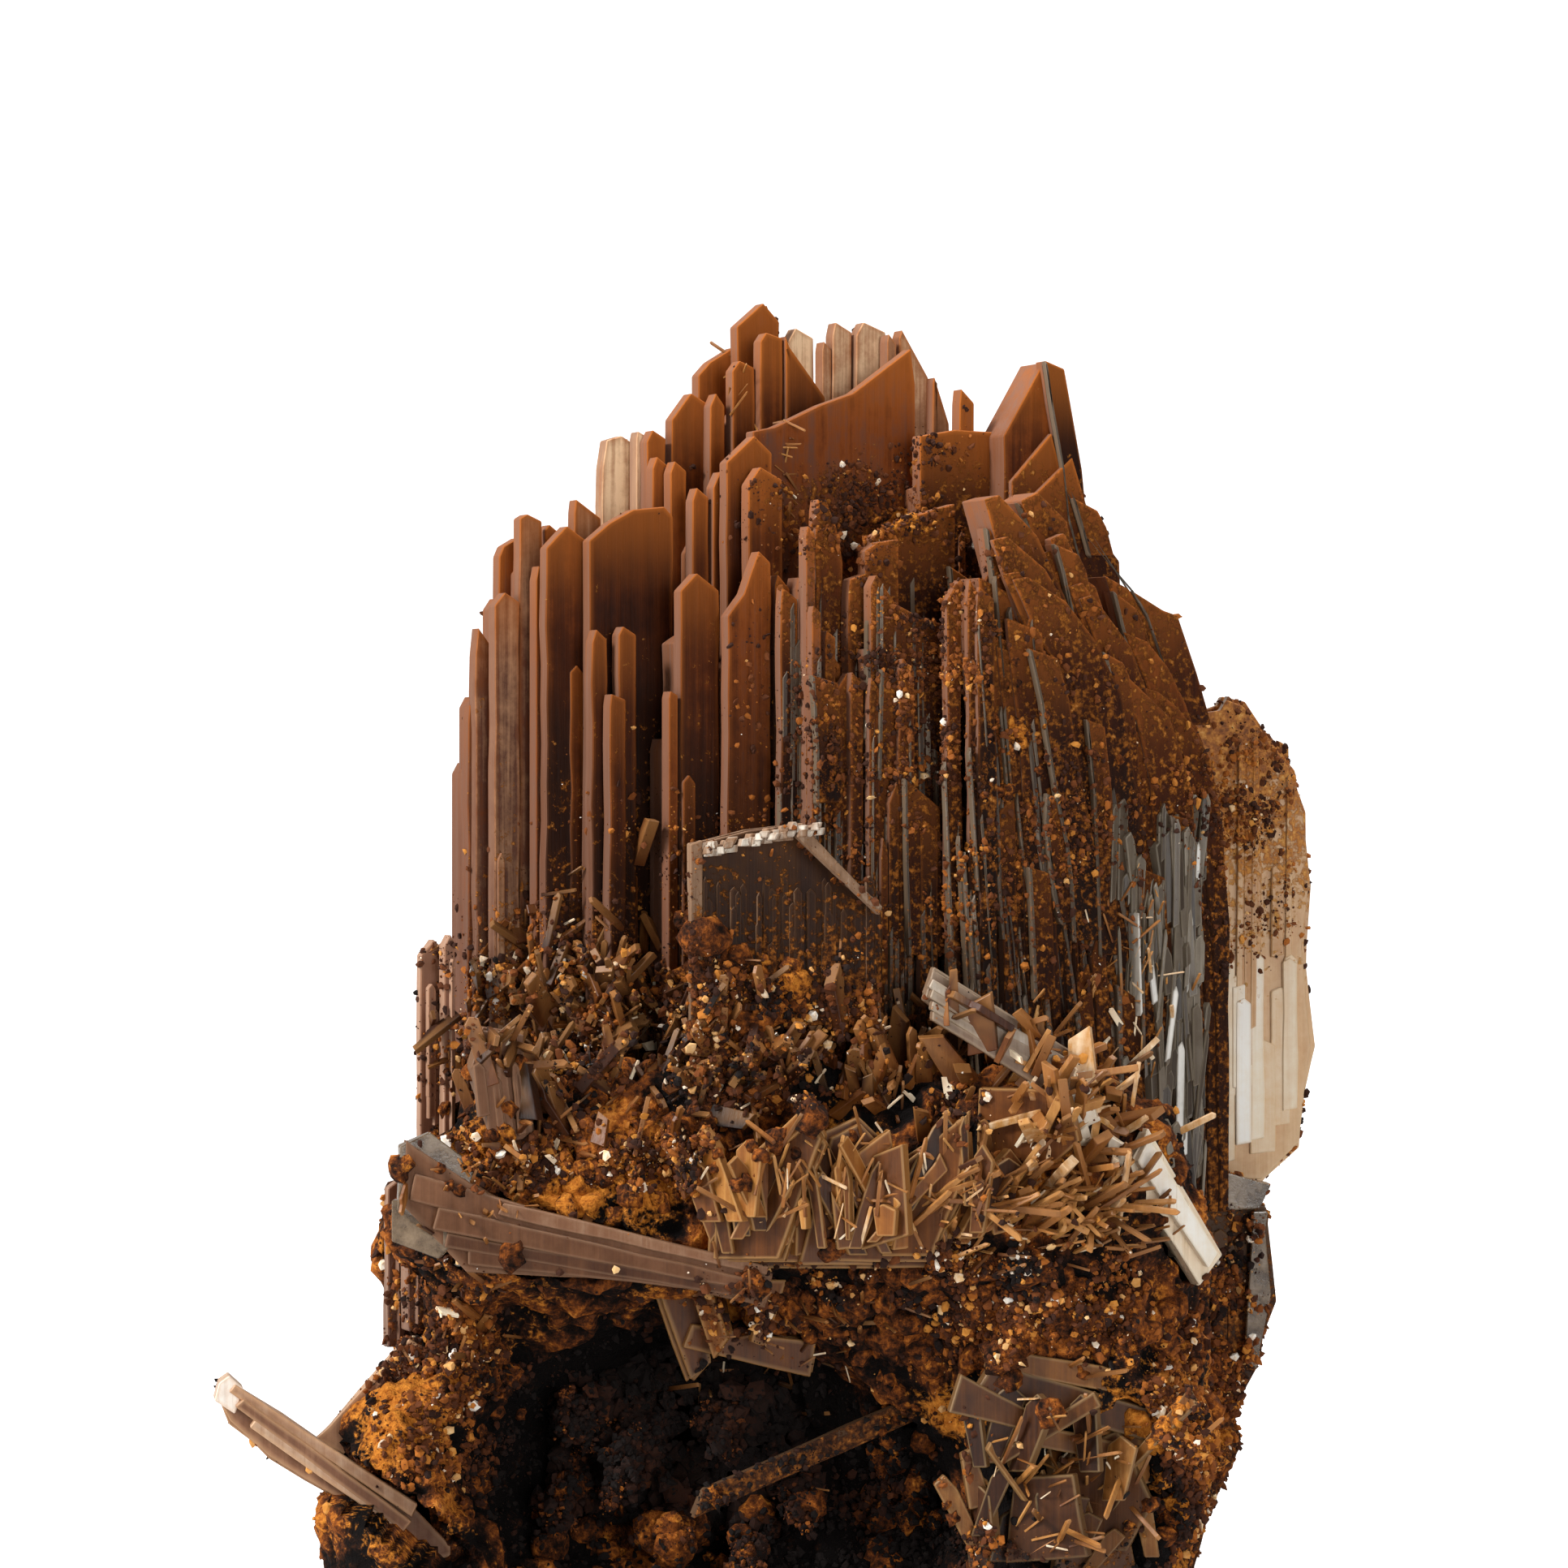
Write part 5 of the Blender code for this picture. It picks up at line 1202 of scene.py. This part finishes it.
for foot, tip, radius in CRUST_SPIKES:
    crust_branches.append((Vector(foot), Vector(tip), radius))
    for _ in range(4):
        fork = Vector(foot).lerp(Vector(tip), crust_chance.uniform(0.3, 0.85))
        way = Vector([crust_chance.gauss(0, 1) for _ in range(3)]).normalized()
        crust_branches.append((fork, fork + way * crust_chance.uniform(1.2, 2.8), radius * 0.5))
for start, end, radius in crust_branches:
    for step in range(SPIKE_GRAINS):
        along = step / (SPIKE_GRAINS - 1)
        size = radius * (1.1 - along) * crust_chance.uniform(0.25, 0.6)
        off = Vector([crust_chance.gauss(0, radius * (0.55 - 0.4 * along)) for _ in range(3)])
        # Grains lighten towards each spike's tip, partly a painted highlight
        copied(crust_bm, crust_chance.choice(chunks), start.lerp(end, along) + off, any_turn(crust_chance),
               (size, size, size), 0.04 + 0.62 * along * crust_chance.random())

# Loose and stuck grains of limonite: dull, each with one tone from near black through rust and
# ochre to the white of crushed barite.
crumb_finish, tree, shader = new_material("limonite_grains")
place_in = add(tree, "TexCoord").outputs["Object"]
specks = add(tree, "TexNoise", {0: place_in, "Scale": 1 / (0.3 * MM), "Detail": 3.0})
tone = add(tree, "Attribute", {"attribute_name": "tone"}).outputs["Fac"]
speck_part = add(tree, "Math.MULTIPLY_ADD", {0: specks, 1: 0.16, 2: -0.08})
shade = add(tree, "Math.ADD", {0: tone, 1: speck_part})
grain_ramp = colour_ramp(tree, shade, [(0.0, "#120906"), (0.22, "#371a0b"), (0.42, "#6a3714"),
                                       (0.6, "#a05a1c"), (0.76, "#c98536"), (0.9, "#e2b77e"),
                                       (1.0, "#f7f0e4")])
tree.links.new(grain_ramp.outputs[0], shader.inputs["Base Color"])
shader.inputs["Roughness"].default_value = 0.9
shader.inputs["Specular IOR Level"].default_value = 0.3
put("hollow_crust_growth", mesh_of(crust_bm, "dendritic_crust"), crumb_finish,
    ["hollow_crust"])


# Stray blades: hundreds of small tabular crystals stuck in the limonite at all angles, thickest in
# the tangle below the left of the sheaf and along the ledge.
def chip(bm, outline, thick):
    """A thin crystal chip with a pointed end, one unit long."""
    face = bm.faces.new([bm.verts.new((x, 0, z)) for x, z in outline])
    made = bmesh.ops.extrude_face_region(bm, geom=[face])
    bmesh.ops.translate(bm, verts=[v for v in made["geom"] if isinstance(v, bmesh.types.BMVert)],
                        vec=(0, thick, 0))
    bmesh.ops.recalc_face_normals(bm, faces=bm.faces)
    bmesh.ops.bevel(bm, geom=bm.edges[:], offset=0.012, segments=1, profile=0.5, affect="EDGES", material=-1)
    # The tip is marked as rim, for the finish's painted highlight there
    for label in CRYSTAL_VALUES:
        layer = bm.verts.layers.float.new(label)
        for vert in bm.verts:
            vert[layer] = 1.0 if label == "rim" and vert.co.z > 0.8 else 0.0


STRAY_OUTLINES = {
    "stray_wide": ([(-0.17, 0), (-0.16, 0.9), (-0.02, 1.0), (0.16, 0.94), (0.17, 0)], 0.1),
    "stray_narrow": ([(-0.09, 0), (-0.09, 0.94), (0.0, 1.0), (0.08, 0.97), (0.09, 0)], 0.1),
    "stray_broken": ([(-0.24, 0), (-0.27, 0.6), (-0.1, 0.72), (-0.06, 0.98), (0.2, 1.0), (0.18, 0)], 0.13),
    "stray_block": ([(-0.28, 0), (-0.22, 0.8), (0.2, 1.0), (0.26, 0.1)], 0.2),
}
stray_shapes = [pattern(name, chip, outline=outline, thick=thick)
                for name, (outline, thick) in STRAY_OUTLINES.items()]
surface = surface_so_far()


# Clods: knobbly lumps of limonite on the ledge, over the arch and round the mouths of the hollows.
CLOD_VALUES = ("ochre", "pit_shade", "tone")


def clod(bm, seed):
    """A knobbly lump, one unit in radius, with the rock's own values."""
    bmesh.ops.create_icosphere(bm, subdivisions=2, radius=1.0)
    for vert in bm.verts:
        lump = noise.noise(vert.co * 1.3 + Vector((seed, 0, 0)))
        vert.co *= 1.0 + 0.5 * lump + 0.3 * noise.noise(vert.co * 3.4 + Vector((0, seed, 0)))
    for label in CLOD_VALUES:
        layer = bm.verts.layers.float.new(label)
        for vert in bm.verts:
            # Painted shade: the pit shade value is darker between the knobs and lighter on them
            knob = noise.noise(vert.co * 3.4 + Vector((0, seed, 0)))
            vert[layer] = 0.3 - 0.5 * knob if label == "pit_shade" else 0.5


CLOD_GROUPS = [
    ((-12.0, 32.0), (10.0, 2.6), 110, (0.4, 1.3)), ((-2.0, 43.6), (5.0, 3.0), 40, (0.5, 1.6)),
    ((16.0, 22.0), (10.0, 4.0), 130, (0.4, 1.7)), ((-14.0, 38.0), (6.0, 4.0), 26, (0.4, 1.1)),
    ((2.0, 22.4), (4.0, 2.4), 40, (0.4, 1.2)), ((-21.0, 16.0), (4.0, 7.0), 60, (0.4, 1.4)),
    ((28.6, 12.0), (3.0, 8.0), 80, (0.4, 1.3)), ((9.0, 12.0), (3.0, 8.0), 50, (0.4, 1.3)),
    ((0.0, 36.0), (8.0, 3.0), 24, (0.4, 1.1)), ((-8.4, 6.0), (8.0, 3.0), 60, (0.5, 1.5)),
    ((17.3, 61.1), (0.7, 1.4), 16, (0.25, 0.6)), ((9.4, 75.4), (3.4, 0.8), 50, (0.2, 0.6)),
    ((15.0, 58.0), (9.0, 9.0), 70, (0.15, 0.5)), ((3.0, 58.0), (3.0, 8.0), 30, (0.15, 0.4)),
]
clods = [pattern("clod", clod, seed=seed) for seed in range(4)]
clod_chance = random.Random(97)
clod_bm = bmesh.new()
for label in CLOD_VALUES:
    clod_bm.verts.layers.float.new(label)
ochre_layer = clod_bm.verts.layers.float["ochre"]
for (mx, mz), (hx, hz), count, sizes in CLOD_GROUPS:
    for _ in range(count):
        x, z = mx + hx * clod_chance.gauss(0, 0.55), mz + hz * clod_chance.gauss(0, 0.55)
        spot, normal = spot_from_eye(x, z)
        if spot is None or spot.z < 1.5 or off_line(SPAR_LINE, x, z) < 1.8:
            continue
        size = sizes[0] + (sizes[1] - sizes[0]) * clod_chance.random() ** 2
        before = len(clod_bm.verts)
        copied(clod_bm, clod_chance.choice(clods), spot - normal * size * 0.35, any_turn(clod_chance),
               (size, size * clod_chance.uniform(0.6, 1.0), size), 0.5)
        ochre_here = (0.35 + 0.5 * nearness(OCHRE_SPOTS, x, z) - 0.4 * nearness(BLACK_SPOTS, x, z)
                      + clod_chance.uniform(-0.25, 0.25))
        clod_bm.verts.ensure_lookup_table()
        for vert in clod_bm.verts[before:]:
            vert[ochre_layer] = ochre_here
put("limonite_clods", mesh_of(clod_bm, "limonite_clods"), limonite, smooth=True)
surface = surface_so_far()


# Crumbs: limonite grains stuck all over the lower blades, the right side of the sheaf and the rock.
# Each spot gives its middle, its half sizes and how thickly it is covered.
COVER = [
    ((7.0, 76.0), (7.0, 4.0), 0.75), ((12.0, 68.0), (7.0, 7.0), 0.8), ((15.0, 56.0), (12.0, 10.0), 0.55),
    ((4.0, 62.0), (4.5, 11.0), 0.6), ((21.0, 62.0), (5.0, 10.0), 0.4), ((24.0, 46.0), (4.0, 9.0), 0.3),
    ((-14.0, 42.0), (8.0, 6.0), 1.0), ((-4.0, 52.0), (12.0, 5.0), 0.3), ((-8.0, 58.0), (9.0, 8.0), 0.04),
    ((-10.0, 31.5), (13.0, 3.6), 1.0), ((0.0, 40.0), (9.0, 6.0), 1.0), ((11.0, 80.0), (4.0, 3.0), 0.5),
    ((2.0, 46.0), (7.0, 4.0), 0.25), ((32.0, 22.0), (3.0, 8.0), 0.9), ((32.5, 55.0), (4.0, 9.0), 0.7),
    ((16.0, 38.0), (8.0, 4.0), 0.8), ((18.0, 24.0), (9.0, 4.5), 1.0), ((3.0, 22.0), (7.0, 3.0), 0.8),
    ((28.0, 12.0), (4.0, 9.0), 1.0), ((-22.0, 16.0), (5.0, 8.0), 0.9), ((-8.0, 12.0), (14.0, 9.0), 0.45),
    ((10.0, 8.0), (14.0, 7.0), 0.6), ((-16.0, 52.0), (5.0, 6.0), 0.06), ((-2.0, 78.0), (2.0, 3.0), 0.15),
]
EARLY_CRUMBS = {"front_crumbs": 15000, "more_front_crumbs": 13000}
LATE_CRUMBS = {"late_front_crumbs": 12000, "side_crumbs": 14000}
# From this height up, crumbs are finer and rustier and almost none is white
HIGH_UP = 47
# Clean crystals: middle, half sizes, and the share of crumbs that is left on them
CLEAN = [
    ((5.0, 30.4), (9.6, 5.4), 0.12), ((16.6, 40.2), (6.0, 3.4), 0.3), ((28.0, 28.8), (3.4, 5.4), 0.08),
    ((-12.0, 27.6), (13.0, 2.6), 0.15), ((20.6, 11.6), (6.6, 6.6), 0.15), ((33.0, 37.0), (5.0, 8.0), 0.06),
    ((-17.6, 37.0), (2.6, 4.6), 0.2), ((22.0, 35.6), (3.6, 4.0), 0.25), ((20.0, 29.0), (7.0, 3.6), 0.4),
    ((-23.6, 30.0), (4.0, 4.0), 0.15), ((27.4, 42.0), (2.6, 12.0), 0.3), ((0.6, 49.6), (5.6, 5.0), 0.3),
]


def cover_at(x, z):
    """How thickly crumbs cover what shows at x and z."""
    if off_line(SPAR_LINE, x, z) < SPAR_ROOM:
        return 0.05
    left_over = min((share for (mx, mz), (hx, hz), share in CLEAN
                     if ((x - mx) / hx) ** 2 + ((z - mz) / hz) ** 2 < 1), default=1.0)
    return left_over * max(thick * math.exp(-(((x - mx) / hx) ** 2 + ((z - mz) / hz) ** 2) * 0.8)
                           for (mx, mz), (hx, hz), thick in COVER)


def side_spot(chance):
    """A random surface spot seen from the sides, the back or above, likelier low down."""
    height = 88 * chance.random() ** 1.7
    middle = (Vector((chance.uniform(-22, 30), chance.uniform(-16, 16), height)) + SHIFT) * MM
    round_about = chance.uniform(-0.35, math.pi + 0.35)
    way = Vector((-math.cos(round_about), -math.sin(round_about), -chance.uniform(0, 0.7))).normalized()
    place, normal, _, _ = surface.ray_cast(middle - way * 0.2, way)
    return (None, None) if place is None else (place / MM - SHIFT, normal)


crumb_chance = random.Random(83)


def scatter_crumbs(name, count):
    """Make one piece of crumbs on what is built so far."""
    crumb_bm = bmesh.new()
    crumb_bm.verts.layers.float.new("tone")
    laid = 0
    while laid < count:
        if name == "side_crumbs":
            spot, normal = side_spot(crumb_chance)
            wanted = 0.0 if spot is None or normal.y < -0.4 else 1.0 if spot.z < 36 else 0.18
        else:
            x, z = crumb_chance.uniform(-27, 38), crumb_chance.uniform(1, 86)
            wanted = cover_at(x, z)
            if crumb_chance.random() > wanted:
                continue
            spot, normal = spot_from_eye(x, z)
        if spot is None or spot.z < 0.8:
            continue
        clump = noise.noise(spot / 2.2 + Vector((3, 1, 4))) + 0.8 * noise.noise(spot / 6.5)
        if crumb_chance.random() > wanted * (0.6 + clump * 1.5):
            continue
        size = 0.05 + 0.28 * crumb_chance.random() ** 4
        rust = 0.3 + 0.36 * noise.noise(spot / 3.0) + crumb_chance.gauss(0, 0.11)
        # Painted shade: crumbs darken inside the hollows, and they also darken near the black patches
        deep = inside_hollows(spot)
        rust -= 0.35 * clamped(deep * 2) + 0.24 * nearness(BLACK_SPOTS, *seen_at(spot))
        if spot.z > HIGH_UP:
            rust, size = max(rust, 0.14) + 0.05, size * 0.8
        # Light ochre and white crumbs, partly their own colour and partly painted highlights, more of them
        # below HIGH_UP
        chosen = crumb_chance.random()
        golden = max(0.0, noise.noise(spot / 1.6 + Vector((8, 8, 0))) * 2)
        bright = 0.05 + (0.05 + 0.3 * golden) * (spot.z < HIGH_UP)
        if chosen < bright and deep < 0:
            rust = crumb_chance.uniform(0.5, 0.85)
        elif chosen > (0.975 if spot.z < HIGH_UP else 0.993) and deep < 0:
            rust, size = crumb_chance.uniform(0.88, 1.0), size * 1.3
        copied(crumb_bm, crumb_chance.choice(bits) if size < 0.15 else crumb_chance.choice(chunks),
               spot + normal * size * 0.25, any_turn(crumb_chance),
               (size, size * crumb_chance.uniform(0.4, 1.0), size * crumb_chance.uniform(0.7, 1.6)), rust)
        laid += 1
    put(name, mesh_of(crumb_bm, name), crumb_finish)


for name, count in EARLY_CRUMBS.items():
    scatter_crumbs(name, count)


# Middle, half sizes, count, lengths, tones and lean of each group of strays, and whether they are needles
STRAY_GROUPS = [
    ((-13.5, 42.0), (7.0, 6.5), 300, (1.2, 4.8), (0.05, 0.5), (0.2, 0, 0.5), False),
    ((-3.0, 39.0), (6.0, 4.5), 130, (1.2, 4.4), (0.0, 0.45), (0.3, 0, 0.6), False),
    ((9.5, 38.6), (6.0, 4.0), 130, (1.4, 4.8), (0.1, 0.5), (-0.1, 0, 0.8), False),
    ((20.5, 35.0), (5.5, 7.0), 150, (1.2, 4.2), (0.2, 0.9), (0.4, 0, 0.5), False),
    ((18.5, 28.6), (7.5, 3.0), 190, (1.6, 5.6), (0.25, 0.85), (0.7, -0.2, 0.35), True),
    ((5.0, 29.6), (9.0, 4.4), 90, (1.4, 4.0), (0.3, 0.9), (0.1, 0, 0.7), True),
    ((-15.0, 31.0), (8.0, 3.0), 60, (0.8, 2.0), (0.1, 0.7), (0.3, -0.4, 0.2), False),
    ((20.5, 10.6), (6.6, 6.0), 60, (1.6, 4.4), (0.25, 0.85), (0.6, -0.2, 0.4), True),
    ((25.4, 44.0), (3.0, 8.0), 50, (0.8, 2.6), (0.4, 0.9), (0.1, 0, 0.8), True),
    ((3.0, 20.0), (8.0, 5.0), 50, (1.4, 4.0), (0.05, 0.5), (0.5, -0.3, 0.1), True),
    ((-20.0, 22.0), (4.0, 5.0), 30, (1.0, 2.6), (0.1, 0.6), (0, -0.3, 0.3), False),
    ((-2.0, 84.5), (1.6, 2.2), 7, (1.4, 2.6), (0.5, 0.8), (0.4, 0, 0.5), True),
    ((2.4, 80.6), (2.4, 1.4), 9, (1.2, 2.2), (0.45, 0.75), (0.6, 0, 0.3), True),
    ((2.0, 76.6), (1.2, 2.0), 9, (1.2, 2.6), (0.4, 0.7), (-0.5, 0, 0.5), True),
]
FRONT_LIMIT = -25.9
stray_chance = random.Random(79)
stray_bm = crystal_bmesh()
for (mx, mz), (hx, hz), count, lengths, tones, lean, needles in STRAY_GROUPS:
    for _ in range(count):
        x, z = mx + hx * stray_chance.gauss(0, 0.5), mz + hz * stray_chance.gauss(0, 0.5)
        spot, normal = spot_from_eye(x, z)
        if spot is None:
            continue
        way = normal * 0.4 + Vector(lean) + Vector([stray_chance.gauss(0, 0.5) for _ in range(3)])
        spin = Matrix.Rotation(stray_chance.uniform(0, math.tau), 3, "Z").to_quaternion()
        turn = way.to_track_quat("Z", "Y") @ spin
        length = lengths[0] + (lengths[1] - lengths[0]) * stray_chance.random() ** 2
        tone = stray_chance.uniform(*tones)
        if stray_chance.random() < 0.08:
            tone, length = 1.0, min(length, 1.5)
        if (spot + way.normalized() * length).y < FRONT_LIMIT:
            continue
        broad = length * stray_chance.uniform(0.4, 0.9) * (0.5 if needles else 1.0)
        shape = stray_shapes[1] if needles else stray_chance.choice(stray_shapes)
        copied(stray_bm, shape, spot - way.normalized() * length * 0.22, turn,
               (broad, length * 0.8, length), tone)
stray_barite = barite("stray_tan_barite", ["#160a04", "#381a09", "#5e3212", "#86501f", "#b98548",
                                           "#f6e6c8"], "#b9824a", "#9a7044", "#3a200c", gloss=0.36,
                      foot=(-20, -10), dust=1.1, glow=0.0, sheen=0.2)
crystal_piece("stray_blades", stray_bm, stray_barite)

# A last layer of crumbs, which lies on the strays too
surface = surface_so_far()
for name, count in LATE_CRUMBS.items():
    scatter_crumbs(name, count)
